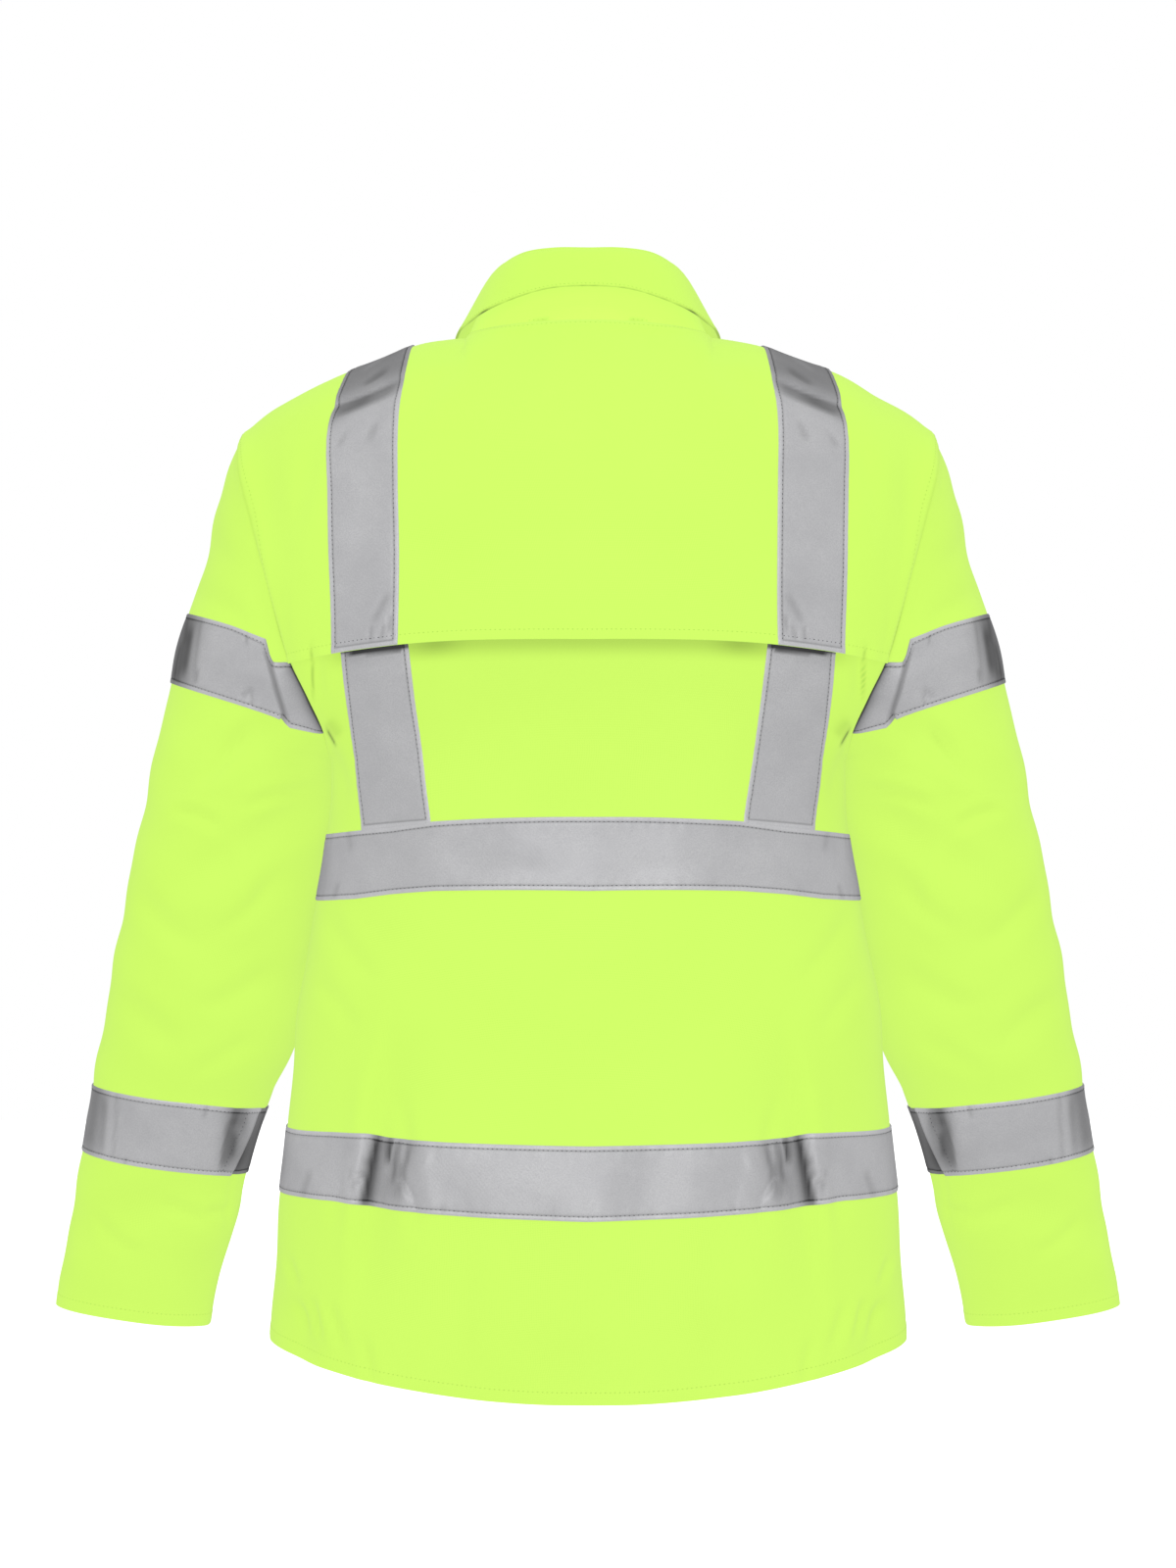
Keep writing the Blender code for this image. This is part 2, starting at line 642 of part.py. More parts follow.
# ---------------------------------------------------------------- collar
def neck_points(front_body, back_body):
    """Half of the neck seam, from the centre back to the centre front."""
    places = column_places(back_body, len(back_body.sections) - 1, BACK_TAPE_EDGES, 0.0)
    half = [back_body.point(len(back_body.sections) - 1, x) for x in places[:NECK_STEPS + 1]]
    places = column_places(front_body, len(front_body.sections) - 1, FRONT_TAPE_EDGES, ZIP_EDGE_X)
    front = [front_body.point(len(front_body.sections) - 1, x) for x in places[:NECK_STEPS]]
    return half + list(reversed(front))


def round_the_neck(half):
    """From the left centre front, round the back, to the right centre front."""
    other = [point * Vector((-1, 1, 1)) for point in half[1:]]
    return list(reversed(half)) + other


def collar_stand_grid(neck):
    rows = []
    for share in STAND_SHARES:
        half = []
        for seam, section in zip(neck, COLLAR_SECTIONS):
            fold = Vector((section.fold_x, section.fold_y, section.fold_z))
            inward = Vector((-fold.x, -fold.y, 0.0)).normalized() * STAND_TOP_INSET
            top = fold + inward - Vector((0, 0, STAND_TOP_DROP))
            foot = seam + Vector((0, 0, SEAM_GAP))
            half.append(foot.lerp(top, share))
        rows.append(round_the_neck(half))
    return ClothGrid(rows)


def collar_fall_grid():
    rows = []
    for share in FALL_SHARES:
        half = []
        for section in COLLAR_SECTIONS:
            fold = Vector((section.fold_x, section.fold_y, section.fold_z))
            edge = Vector((section.edge_x, section.edge_y, section.edge_z))
            out = Vector((fold.x, fold.y, 0.0)).normalized()
            arc = math.sin(math.pi * share ** 0.5) * FALL_BULGE
            half.append(fold.lerp(edge, share) + out * arc)
        rows.append(round_the_neck(half))
    rows.reverse()
    return ClothGrid(rows)


# ---------------------------------------------------------------- zip
def zip_half_mesh(name, grid, side):
    """One half of the zip: its chain between the front edges and its tape behind one of them."""
    column = 0 if side > 0 else -1
    centre = [Vector((0.0, row[column].y, row[column].z)) for row in grid.rows]
    outward = [Vector((0.0, row[column].y, row[column].z)).normalized() for row in grid.normals]
    centre[0] += (centre[1] - centre[0]).normalized() * ZIP_END_INSET
    centre[-1] += (centre[-2] - centre[-1]).normalized() * ZIP_END_INSET
    start = SEAM_GAP / 2
    tape_back = ZIP_TAPE_DEPTH + ZIP_TAPE_WALL
    section = (
        (start, ZIP_CHAIN_RISE),
        (ZIP_CHAIN_X, ZIP_CHAIN_RISE),
        (ZIP_CHAIN_X, -ZIP_TAPE_DEPTH),
        (ZIP_TAPE_X, -ZIP_TAPE_DEPTH),
        (ZIP_TAPE_X, -tape_back),
        (start, -tape_back),
    )
    vertices = []
    for point, normal in zip(centre, outward):
        for across, rise in section:
            vertices.append(point + Vector((across * side, 0, 0)) + normal * rise)
    size = len(section)
    faces = []
    for row in range(len(centre) - 1):
        for corner in range(size):
            a = row * size + corner
            b = row * size + (corner + 1) % size
            faces.append((a, b, b + size, a + size))
    top = (len(centre) - 1) * size
    faces += [(5, 2, 1, 0), (5, 4, 3, 2)]
    faces += [(top, top + 1, top + 2, top + 5), (top + 2, top + 3, top + 4, top + 5)]
    mesh = bpy.data.meshes.new(name)
    mesh.from_pydata([tuple(vertex) for vertex in vertices], [], faces)
    shape = bmesh.new()
    shape.from_mesh(mesh)
    bmesh.ops.triangulate(shape, faces=shape.faces)
    bmesh.ops.recalc_face_normals(shape, faces=shape.faces)
    shape.to_mesh(mesh)
    shape.free()
    return mesh


def add_block(shape, low, high):
    """A box between two corners."""
    centre = (Vector(low) + Vector(high)) / 2
    size = Vector(high) - Vector(low)
    placed = Matrix.Translation(centre) @ Matrix.Diagonal((*size, 1.0))
    bmesh.ops.create_cube(shape, size=1.0, matrix=placed)


def block_object(name, low, high, collection):
    shape = bmesh.new()
    add_block(shape, low, high)
    mesh = bpy.data.meshes.new(name)
    shape.to_mesh(mesh)
    shape.free()
    piece = bpy.data.objects.new(name, mesh)
    collection.objects.link(piece)
    return piece


def boolean(piece, cutter, operation):
    step = piece.modifiers.new(cutter.name, "BOOLEAN")
    step.object = cutter
    step.operation = operation
    cutter.hide_render = True
    cutter.display_type = "WIRE"


def add_slider(place, material, collection, cutters):
    """A slider in the frame of the zip: X across, Y into the body, Z up the chain."""
    half = SLIDER_LENGTH / 2
    face = -ZIP_CHAIN_RISE - SLIDER_CLEAR
    outer = face - SLIDER_PLATE_WALL
    flange_in = ZIP_CHAIN_X + SLIDER_CLEAR
    flange_out = flange_in + SLIDER_WALL
    slider = block_object(
        "zip_slider",
        (-flange_out, outer, -half),
        (flange_out, ZIP_TAPE_DEPTH - SLIDER_CLEAR, half),
        collection,
    )
    channel = block_object(
        "slider_channel",
        (-flange_in, face, -half * 2),
        (flange_in, ZIP_TAPE_DEPTH * 2, half * 2),
        cutters,
    )
    boolean(slider, channel, "DIFFERENCE")
    bridge_top = outer - BRIDGE_ROOM - BRIDGE_WALL
    bridge = block_object(
        "slider_bridge",
        (-BRIDGE_HALF_WIDTH, bridge_top, -BRIDGE_HALF_LENGTH),
        (BRIDGE_HALF_WIDTH, outer + SLIDER_PLATE_WALL / 2, BRIDGE_HALF_LENGTH),
        cutters,
    )
    boolean(slider, bridge, "UNION")
    room = block_object(
        "slider_bridge_room",
        (-BRIDGE_HALF_WIDTH * 2, outer - BRIDGE_ROOM, -BRIDGE_HALF_LENGTH + BRIDGE_WALL),
        (BRIDGE_HALF_WIDTH * 2, outer, BRIDGE_HALF_LENGTH - BRIDGE_WALL),
        cutters,
    )
    boolean(slider, room, "DIFFERENCE")
    slider.data.materials.append(material)
    for piece in (slider, channel, bridge, room):
        piece.matrix_world = place


def add_pull(hinge, material, collection, cutters):
    """The pull tab, hanging from its cross bar, which is at the origin of its frame."""
    bar = PULL_WALL / 2
    tab = block_object(
        "zip_pull",
        (-PULL_HALF_WIDTH, -bar, -PULL_LENGTH),
        (PULL_HALF_WIDTH, bar, bar),
        collection,
    )
    eye = block_object(
        "pull_eye",
        (-PULL_EYE_HALF_WIDTH, -bar * 3, -PULL_EYE_LENGTH),
        (PULL_EYE_HALF_WIDTH, bar * 3, -bar),
        cutters,
    )
    boolean(tab, eye, "DIFFERENCE")
    rounding = tab.modifiers.new("rounding", "BEVEL")
    rounding.width = PULL_ROUNDING
    rounding.segments = 1
    rounding.limit_method = "ANGLE"
    tab.data.materials.append(material)
    for piece in (tab, eye):
        piece.matrix_world = hinge


def zip_frame(grid):
    """The slider's place: the middle of the top stretch of the zip, square to it."""
    low = grid.rows[-2][0]
    high = grid.rows[-1][0]
    middle = (low + high) / 2
    up = Vector((0.0, high.y - low.y, high.z - low.z)).normalized()
    across = Vector((1, 0, 0))
    inward = up.cross(across)
    turn = Matrix((across, inward, up)).transposed().to_4x4()
    return Matrix.Translation((0.0, middle.y, middle.z)) @ turn


# ---------------------------------------------------------------- assembly
def row_named(name):
    """The body row of that name, counted from the hem."""
    names = [row.name for row in BODY_ROWS] + [row.name for row in YOKE_ROWS]
    return names.index(name)


def sleeve_row_named(name):
    return [row.name for row in SLEEVE_ROWS].index(name)


def build():
    clear_scene()
    parts = make_collection(PART_NAME)
    cutters = make_collection("cutters")
    cloth = make_material("fluorescent_yellow_cloth", FLUORESCENT_YELLOW, 0.75)
    tape = make_material("reflective_tape", REFLECTIVE_SILVER, 0.45)
    zip_cloth = make_material("zip_tape", ZIP_YELLOW, 0.6)
    metal = make_material("slider_metal", DARK_METAL, 0.4, 1.0)
    half_gap = SEAM_GAP / 2

    back_body = BodyHalf(is_back=True)
    front_body = BodyHalf(is_back=False)
    back = back_grid(back_body, BACK_TAPE_EDGES)
    front_left = front_grid(front_body)
    front_right = front_left.mirrored()
    sleeve_left = sleeve_grid()
    sleeve_right = sleeve_left.mirrored()
    sew_together([back, front_left, front_right, sleeve_left, sleeve_right])

    def add_wall(name, grid, face_out, wall, material):
        return add_object(name, wall_mesh(name, grid, face_out, wall), material, parts)

    def add_tape(name, grid, **pulled):
        add_wall(name, grid.pulled_in(**pulled), SEAM_GAP + TAPE_WALL, TAPE_WALL, tape)

    add_wall("back_panel", back.sewn(SEAM_GAP), 0.0, CLOTH_WALL, cloth)
    add_wall("front_left", front_left.sewn(SEAM_GAP), 0.0, CLOTH_WALL, cloth)
    add_wall("front_right", front_right.sewn(SEAM_GAP), 0.0, CLOTH_WALL, cloth)
    add_wall("sleeve_left", sleeve_left.sewn(SEAM_GAP), 0.0, CLOTH_WALL, cloth)
    add_wall("sleeve_right", sleeve_right.sewn(SEAM_GAP), 0.0, CLOTH_WALL, cloth)

    cape_row = row_named("cape_hem")
    cape_base = back_grid(back_body, CAPE_TAPE_EDGES, cape_row)
    sew_together([cape_base])
    cape_edge = back_body.edge_x(cape_row)

    def cape_distance(row_index, point):
        fall = 1 - row_index / (len(cape_base.rows) - 1)
        middle = 1 - min(abs(point.x) / cape_edge, 1.0) ** 4
        return CAPE_AIR + CLOTH_WALL + CAPE_STAND_OFF * fall ** 2 * middle

    cape = cape_base.moved_out(cape_distance)
    sew_together([cape])
    cape_in = {"left": CAPE_EDGE_INSET, "right": CAPE_EDGE_INSET, "top": CAPE_EDGE_INSET}
    add_wall("back_cape", cape.pulled_in(**cape_in), 0.0, CLOTH_WALL, cloth)

    last_row = len(back.rows) - 1
    width = 2 * HALF_COLUMNS
    left_tape = (HALF_COLUMNS - TAPE_LAST_COLUMN, HALF_COLUMNS - TAPE_FIRST_COLUMN)
    right_tape = (HALF_COLUMNS + TAPE_FIRST_COLUMN, HALF_COLUMNS + TAPE_LAST_COLUMN)
    waist_top = row_named("waist_tape_top")
    waist_bottom = row_named("waist_tape_bottom")
    hem_top = row_named("hem_tape_top")
    hem_bottom = row_named("hem_tape_bottom")
    for side, columns in (("left", left_tape), ("right", right_tape)):
        cape_strip = cape.part(0, len(cape.rows) - 1, *columns)
        add_tape("cape_tape_" + side, cape_strip, bottom=SEAM_GAP, top=CAPE_TAPE_EDGE_INSET)
        back_strip = back.part(waist_top, row_named("blade"), *columns)
        add_tape("back_tape_" + side, back_strip, bottom=SEAM_GAP)
    for name, low, high in (("waist", waist_bottom, waist_top), ("hem", hem_bottom, hem_top)):
        add_tape(name + "_tape_back", back.part(low, high, 0, width), left=half_gap, right=half_gap)

    for side, front in (("left", front_left), ("right", front_right)):
        is_left = side == "left"
        side_seam = {"right": half_gap} if is_left else {"left": half_gap}
        for name, low, high in (("waist", waist_bottom, waist_top), ("hem", hem_bottom, hem_top)):
            band = front.part(low, high, 0, HALF_COLUMNS)
            add_tape(name + "_tape_front_" + side, band, **side_seam)
        columns = (TAPE_FIRST_COLUMN, TAPE_LAST_COLUMN)
        if not is_left:
            columns = (HALF_COLUMNS - TAPE_LAST_COLUMN, HALF_COLUMNS - TAPE_FIRST_COLUMN)
        strip = front.part(waist_top, last_row, *columns)
        add_tape("front_tape_" + side, strip, bottom=SEAM_GAP, top=CAPE_TAPE_EDGE_INSET)

    for side, sleeve in (("left", sleeve_left), ("right", sleeve_right)):
        low, high = sleeve_row_named("arm_tape_bottom"), sleeve_row_named("arm_tape_top")
        band = sleeve.part(low, high, 0, 2 * ARM_STEPS)
        add_tape("upper_sleeve_tape_" + side, band.sewn(2 * SEAM_GAP))
        low, high = sleeve_row_named("forearm_tape_bottom"), sleeve_row_named("forearm_tape_top")
        add_tape("forearm_tape_" + side, sleeve.part(low, high, 0, 2 * ARM_STEPS))

    neck = neck_points(front_body, back_body)
    stand = collar_stand_grid(neck)
    fall = collar_fall_grid()
    sew_together([stand])
    sew_together([fall])
    add_wall("collar_stand", stand, 0.0, COLLAR_WALL, cloth)
    add_wall("collar_fall", fall, 0.0, COLLAR_WALL, cloth)

    for side, front, sign in (("left", front_left, 1), ("right", front_right, -1)):
        name = "zip_" + side
        add_object(name, zip_half_mesh(name, front, sign), zip_cloth, parts)
    place = zip_frame(front_left)
    add_slider(place, metal, parts, cutters)
    bar_y = -ZIP_CHAIN_RISE - SLIDER_CLEAR - SLIDER_PLATE_WALL - SLIDER_CLEAR - PULL_WALL / 2
    hinge = place @ Matrix.Translation((0.0, bar_y, 0.0))
    add_pull(hinge, metal, parts, cutters)


build()
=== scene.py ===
"""Looks of a hi-vis work jacket with a vented cape back, hollow as it is when it is worn.

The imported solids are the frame. Each cut piece of cloth and each band of reflective tape is a fine
shell over its own solid, with its folds, seams and sewing. Metres, +Z up. The back faces +Y and the
wearer's left is +X. The origin is the middle of the neck opening, level with the shoulder ends.
"""

import logging
import math
from dataclasses import dataclass
from enum import Enum
from typing import NamedTuple, Optional, Sequence

import bpy
import numpy as np
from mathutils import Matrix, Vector


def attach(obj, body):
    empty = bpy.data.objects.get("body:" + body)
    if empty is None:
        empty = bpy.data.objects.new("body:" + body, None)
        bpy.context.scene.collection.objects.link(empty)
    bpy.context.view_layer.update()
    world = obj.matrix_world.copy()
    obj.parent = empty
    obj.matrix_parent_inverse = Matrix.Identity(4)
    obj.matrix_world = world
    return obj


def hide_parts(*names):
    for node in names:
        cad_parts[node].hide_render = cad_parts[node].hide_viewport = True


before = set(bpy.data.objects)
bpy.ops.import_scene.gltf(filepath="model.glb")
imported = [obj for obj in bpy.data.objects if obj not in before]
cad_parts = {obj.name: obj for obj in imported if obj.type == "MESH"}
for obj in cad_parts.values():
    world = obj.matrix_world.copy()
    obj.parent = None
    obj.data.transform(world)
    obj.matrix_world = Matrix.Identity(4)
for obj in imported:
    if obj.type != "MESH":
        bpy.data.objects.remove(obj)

Array = np.ndarray
Colour = tuple[float, float, float, float]
Mesh = bpy.types.Mesh
Socket = bpy.types.NodeSocket
Tree = bpy.types.NodeTree

LOG = logging.getLogger("hi_vis_jacket")
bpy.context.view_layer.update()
JACKET_BODY = "jacket"
CUT_MAP = "cut"
SEAM_PULL = "seam_pull"
# The point attribute of painted shade, which darkens the base colour and the glow; below 0 it is a painted
# highlight.
PAINTED_LIGHT_AND_SHADE = "crease_shade"
MM = 0.001
MIRROR = np.array((-1.0, 1.0, 1.0))
# How often Blender's wave texture repeats in one turn of its scale.
BANDS_IN_A_TURN = 20


# ---------------- colours and nodes
def linear(hex_colour: str) -> Colour:
    """Turn an sRGB hex value into a linear colour with full alpha.

    Args:
        hex_colour: Six hex digits with a leading hash.

    Returns:
        Red, green, blue and alpha, from 0 to 1.
    """
    channels = [int(hex_colour[at:at + 2], 16) / 255 for at in (1, 3, 5)]
    turned = [c / 12.92 if c <= 0.04045 else ((c + 0.055) / 1.055) ** 2.4 for c in channels]
    return turned[0], turned[1], turned[2], 1.0


def add_node(
    tree: bpy.types.NodeTree,
    kind: str,
    values: Optional[dict] = None,
    links: Optional[dict] = None,
    **settings: object,
) -> bpy.types.Node:
    """Add one node with its settings, its sockets' values and its links.

    Args:
        tree: The node tree that takes it.
        kind: The node's Blender type.
        values: A value for each input socket, by name or number.
        links: An output socket for each input socket, by name or number.
        **settings: The node's own properties.

    Returns:
        The new node.
    """
    node = tree.nodes.new(kind)
    for name, value in settings.items():
        setattr(node, name, value)
    for socket, value in (values or {}).items():
        node.inputs[socket].default_value = value
    for socket, source in (links or {}).items():
        tree.links.new(source, node.inputs[socket])
    return node


def new_material(name: str, sockets: dict) -> tuple[bpy.types.Material, bpy.types.Node]:
    """Make an empty material with one Principled shader.

    Args:
        name: The material's name.
        sockets: Values that are the same all over the surface.

    Returns:
        The material and its shader node.
    """
    material = bpy.data.materials.new(name)
    material.use_nodes = True
    tree = material.node_tree
    tree.nodes.clear()
    shader = add_node(tree, "ShaderNodeBsdfPrincipled", sockets)
    add_node(tree, "ShaderNodeOutputMaterial", links={"Surface": shader.outputs["BSDF"]})
    return material, shader


@dataclass(frozen=True)
class WovenPolyester:
    """Fluorescent polyester in a plain weave: matt, with a painted glow for its dye's fluorescence that also evens
    out its light and shade.
    """

    name: str
    bright: str
    shade: str
    # The colour and strength of a painted glow: emission that stands in for the dye's fluorescence and evens out
    # the cloth's light and shade.
    glow: str
    glow_strength: float = 0.465
    # Real threads are 0.4 mm apart. They are drawn 1.2 mm apart, or they would not show at all.
    thread_mm: float = 1.2
    thread_height_mm: float = 0.05
    pucker_height_mm: float = 0.9
    pucker_mm: float = 9.0
    roughness: float = 0.78

    def material(self) -> bpy.types.Material:
        """Build the cloth's material.

        Returns:
            A material whose weave and puckers are in real millimetres on the cut cloth.
        """
        material, shader = new_material(self.name, {
            "Roughness": self.roughness,
            "Sheen Weight": 0.12,
            "Sheen Roughness": 0.5,
            "Specular IOR Level": 0.25,
            "Emission Color": linear(self.glow),
        })
        tree = material.node_tree
        cut = add_node(tree, "ShaderNodeUVMap", uv_map=CUT_MAP)
        turns = 2 * math.pi / (self.thread_mm * MM) / BANDS_IN_A_TURN
        threads = [
            add_node(
                tree, "ShaderNodeTexWave", {"Scale": turns, "Distortion": 0.6, "Detail": 1.0},
                {"Vector": cut.outputs["UV"]}, wave_type="BANDS", bands_direction=direction,
            )
            for direction in ("X", "Y")
        ]
        weave = add_node(
            tree, "ShaderNodeMath", links={0: threads[0].outputs["Fac"], 1: threads[1].outputs["Fac"]},
            operation="MULTIPLY",
        )
        place = add_node(tree, "ShaderNodeTexCoord")
        patches = add_node(
            tree, "ShaderNodeTexNoise", {"Scale": 9.0, "Detail": 4.0, "Roughness": 0.55},
            {"Vector": place.outputs["Object"]},
        )
        shades = add_node(
            tree, "ShaderNodeMix", links={0: patches.outputs["Fac"]}, data_type="RGBA",
        )
        shades.inputs[6].default_value = linear(self.bright)
        shades.inputs[7].default_value = linear(self.shade)
        between = add_node(
            tree, "ShaderNodeMapRange", {"To Min": 0.93, "To Max": 1.0}, {"Value": weave.outputs["Value"]}
        )
        crease = add_node(tree, "ShaderNodeAttribute", attribute_name=PAINTED_LIGHT_AND_SHADE)
        lit = add_node(
            tree, "ShaderNodeMath", {0: 1.0}, {1: crease.outputs["Fac"]}, operation="SUBTRACT",
        )
        toned = add_node(
            tree, "ShaderNodeMath", links={0: between.outputs["Result"], 1: lit.outputs["Value"]},
            operation="MULTIPLY",
        )
        # Base colour: random tone and weave, darkened by the painted shade.
        weave_tone_and_painted_shade = add_node(
            tree, "ShaderNodeVectorMath", links={0: shades.outputs[2], "Scale": toned.outputs["Value"]},
            operation="SCALE",
        )
        tree.links.new(weave_tone_and_painted_shade.outputs["Vector"], shader.inputs["Base Color"])
        # Painted glow, dimmed by the painted shade, as the dye's fluorescence is dimmed where less light reaches.
        glowing = add_node(
            tree, "ShaderNodeMath", {1: self.glow_strength}, {0: lit.outputs["Value"]},
            operation="MULTIPLY",
        )
        tree.links.new(glowing.outputs["Value"], shader.inputs["Emission Strength"])
        pull = add_node(tree, "ShaderNodeAttribute", attribute_name=SEAM_PULL)
        ripples = add_node(
            tree, "ShaderNodeTexNoise", {"Scale": 1 / (self.pucker_mm * MM), "Detail": 2.0, "Roughness": 0.4},
            {"Vector": place.outputs["Object"]},
        )
        puckers = add_node(
            tree, "ShaderNodeMath", links={0: ripples.outputs["Fac"], 1: pull.outputs["Fac"]}, operation="MULTIPLY"
        )
        bump = add_node(
            tree, "ShaderNodeBump", {"Strength": 1.0, "Distance": self.pucker_height_mm * MM},
            {"Height": puckers.outputs["Value"]},
        )
        woven = add_node(
            tree, "ShaderNodeBump", {"Strength": 0.8, "Distance": self.thread_height_mm * MM},
            {"Height": weave.outputs["Value"], "Normal": bump.outputs["Normal"]},
        )
        tree.links.new(woven.outputs["Normal"], shader.inputs["Normal"])
        return material


@dataclass(frozen=True)
class GlassBeadTape:
    """Reflective tape: a coat of tiny glass beads on woven backing. It is grey, smooth and half metal."""

    name: str
    bright: str
    shade: str
    metallic: float = 0.30
    roughness: float = 0.42
    # Real beads are 0.06 mm. Their speckle is drawn 0.9 mm across, or it would not show.
    speckle_mm: float = 0.9
    backing_mm: float = 1.6
    crumple_mm: float = 26.0
    crumple_height_mm: float = 0.7

    def material(self) -> bpy.types.Material:
        """Build the tape's material.

        Returns:
            A material with bead speckle, the backing's cross weave and soft crumples.
        """
        material, shader = new_material(self.name, {
            "Metallic": self.metallic,
            "Coat Weight": 0.08,
            "Coat Roughness": 0.35,
        })
        tree = material.node_tree
        cut = add_node(tree, "ShaderNodeUVMap", uv_map=CUT_MAP)
        place = add_node(tree, "ShaderNodeTexCoord")
        speckle = add_node(
            tree, "ShaderNodeTexNoise", {"Scale": 1 / (self.speckle_mm * MM), "Detail": 2.0},
            {"Vector": place.outputs["Object"]},
        )
        rub = add_node(
            tree, "ShaderNodeTexNoise", {"Scale": 22.0, "Detail": 5.0, "Roughness": 0.6},
            {"Vector": place.outputs["Object"]},
        )
        both = add_node(
            tree, "ShaderNodeMath", {2: 0.0}, {0: speckle.outputs["Fac"], 1: rub.outputs["Fac"]},
            operation="MULTIPLY_ADD",
        )
        tones = add_node(
            tree, "ShaderNodeMapRange", {"From Min": 0.10, "From Max": 0.42}, {"Value": both.outputs["Value"]}
        )
        grey = add_node(tree, "ShaderNodeMix", links={0: tones.outputs["Result"]}, data_type="RGBA")
        grey.inputs[6].default_value = linear(self.shade)
        grey.inputs[7].default_value = linear(self.bright)
        # Painted shade and painted highlight from the point attribute, on the tape's base colour.
        crease = add_node(tree, "ShaderNodeAttribute", attribute_name=PAINTED_LIGHT_AND_SHADE)
        lit = add_node(
            tree, "ShaderNodeMath", {0: 1.0}, {1: crease.outputs["Fac"]}, operation="SUBTRACT",
        )
        shaded = add_node(
            tree, "ShaderNodeVectorMath", links={0: grey.outputs[2], "Scale": lit.outputs["Value"]},
            operation="SCALE",
        )
        tree.links.new(shaded.outputs["Vector"], shader.inputs["Base Color"])
        gloss = add_node(
            tree, "ShaderNodeMapRange", {"To Min": self.roughness - 0.06, "To Max": self.roughness + 0.08},
            {"Value": rub.outputs["Fac"]},
        )
        tree.links.new(gloss.outputs["Result"], shader.inputs["Roughness"])
        turns = 2 * math.pi / (self.backing_mm * MM) / BANDS_IN_A_TURN
        backing = add_node(
            tree, "ShaderNodeTexWave", {"Scale": turns, "Distortion": 0.3}, {"Vector": cut.outputs["UV"]},
            wave_type="BANDS", bands_direction="DIAGONAL",
        )
        crumple = add_node(
            tree, "ShaderNodeTexNoise",
            {"Scale": 1 / (self.crumple_mm * MM), "Detail": 3.0, "Roughness": 0.45, "Distortion": 0.8},
            {"Vector": place.outputs["Object"]},
        )
        soft = add_node(
            tree, "ShaderNodeBump", {"Strength": 0.8, "Distance": self.crumple_height_mm * MM},
            {"Height": crumple.outputs["Fac"]},
        )
        fine = add_node(
            tree, "ShaderNodeBump", {"Strength": 0.5, "Distance": 0.03 * MM},
            {"Height": backing.outputs["Fac"], "Normal": soft.outputs["Normal"]},
        )
        tree.links.new(fine.outputs["Normal"], shader.inputs["Normal"])
        return material


@dataclass(frozen=True)
class SewingThread:
    """Spun polyester thread: matt, with a twist too fine to see from a step away."""

    name: str
    colour: str
    # A painted glow, as emission, for fluorescent thread.
    glow_strength: float = 0.0

    def material(self) -> bpy.types.Material:
        """Build the thread's material with a faint twist along its colour."""
        material, shader = new_material(self.name, {
            "Roughness": 0.7,
            "Emission Color": linear(self.colour),
            "Emission Strength": self.glow_strength,
        })
        tree = material.node_tree
        place = add_node(tree, "ShaderNodeTexCoord")
        twist = add_node(
            tree, "ShaderNodeTexWave", {"Scale": 300.0}, {"Vector": place.outputs["Object"]},
            wave_type="BANDS", bands_direction="DIAGONAL",
        )
        dark = tuple(c * 0.8 for c in linear(self.colour)[:3]) + (1.0,)
        tone = add_node(tree, "ShaderNodeMix", links={0: twist.outputs["Fac"]}, data_type="RGBA")
        tone.inputs[6].default_value = dark
        tone.inputs[7].default_value = linear(self.colour)
        tree.links.new(tone.outputs[2], shader.inputs["Base Color"])
        return material


@dataclass(frozen=True)
class MouldedOrCast:
    """A hard finish: moulded acetal teeth, or a die-cast zinc slider under dark lacquer."""

    name: str
    colour: str
    metallic: float
    roughness: float
    grain_mm: float = 1.1
    # A painted glow, as emission, for fluorescent teeth.
    glow_strength: float = 0.0

    def material(self) -> bpy.types.Material:
        """Build the hard material with an uneven gloss and a faint skin texture."""
        material, shader = new_material(self.name, {
            "Metallic": self.metallic,
            "Emission Color": linear(self.colour),
            "Emission Strength": self.glow_strength,
        })
        tree = material.node_tree
        place = add_node(tree, "ShaderNodeTexCoord")
        skin = add_node(
            tree, "ShaderNodeTexNoise", {"Scale": 1 / (self.grain_mm * MM), "Detail": 3.0},
            {"Vector": place.outputs["Object"]},
        )
        gloss = add_node(
            tree, "ShaderNodeMapRange", {"To Min": self.roughness - 0.1, "To Max": self.roughness + 0.12},
            {"Value": skin.outputs["Fac"]},
        )
        tree.links.new(gloss.outputs["Result"], shader.inputs["Roughness"])
        dark = tuple(c * 0.86 for c in linear(self.colour)[:3]) + (1.0,)
        tone = add_node(tree, "ShaderNodeMix", links={0: skin.outputs["Fac"]}, data_type="RGBA")
        tone.inputs[6].default_value = dark
        tone.inputs[7].default_value = linear(self.colour)
        tree.links.new(tone.outputs[2], shader.inputs["Base Color"])
        bump = add_node(
            tree, "ShaderNodeBump", {"Strength": 0.3, "Distance": 0.05 * MM}, {"Height": skin.outputs["Fac"]}
        )
        tree.links.new(bump.outputs["Normal"], shader.inputs["Normal"])
        return material


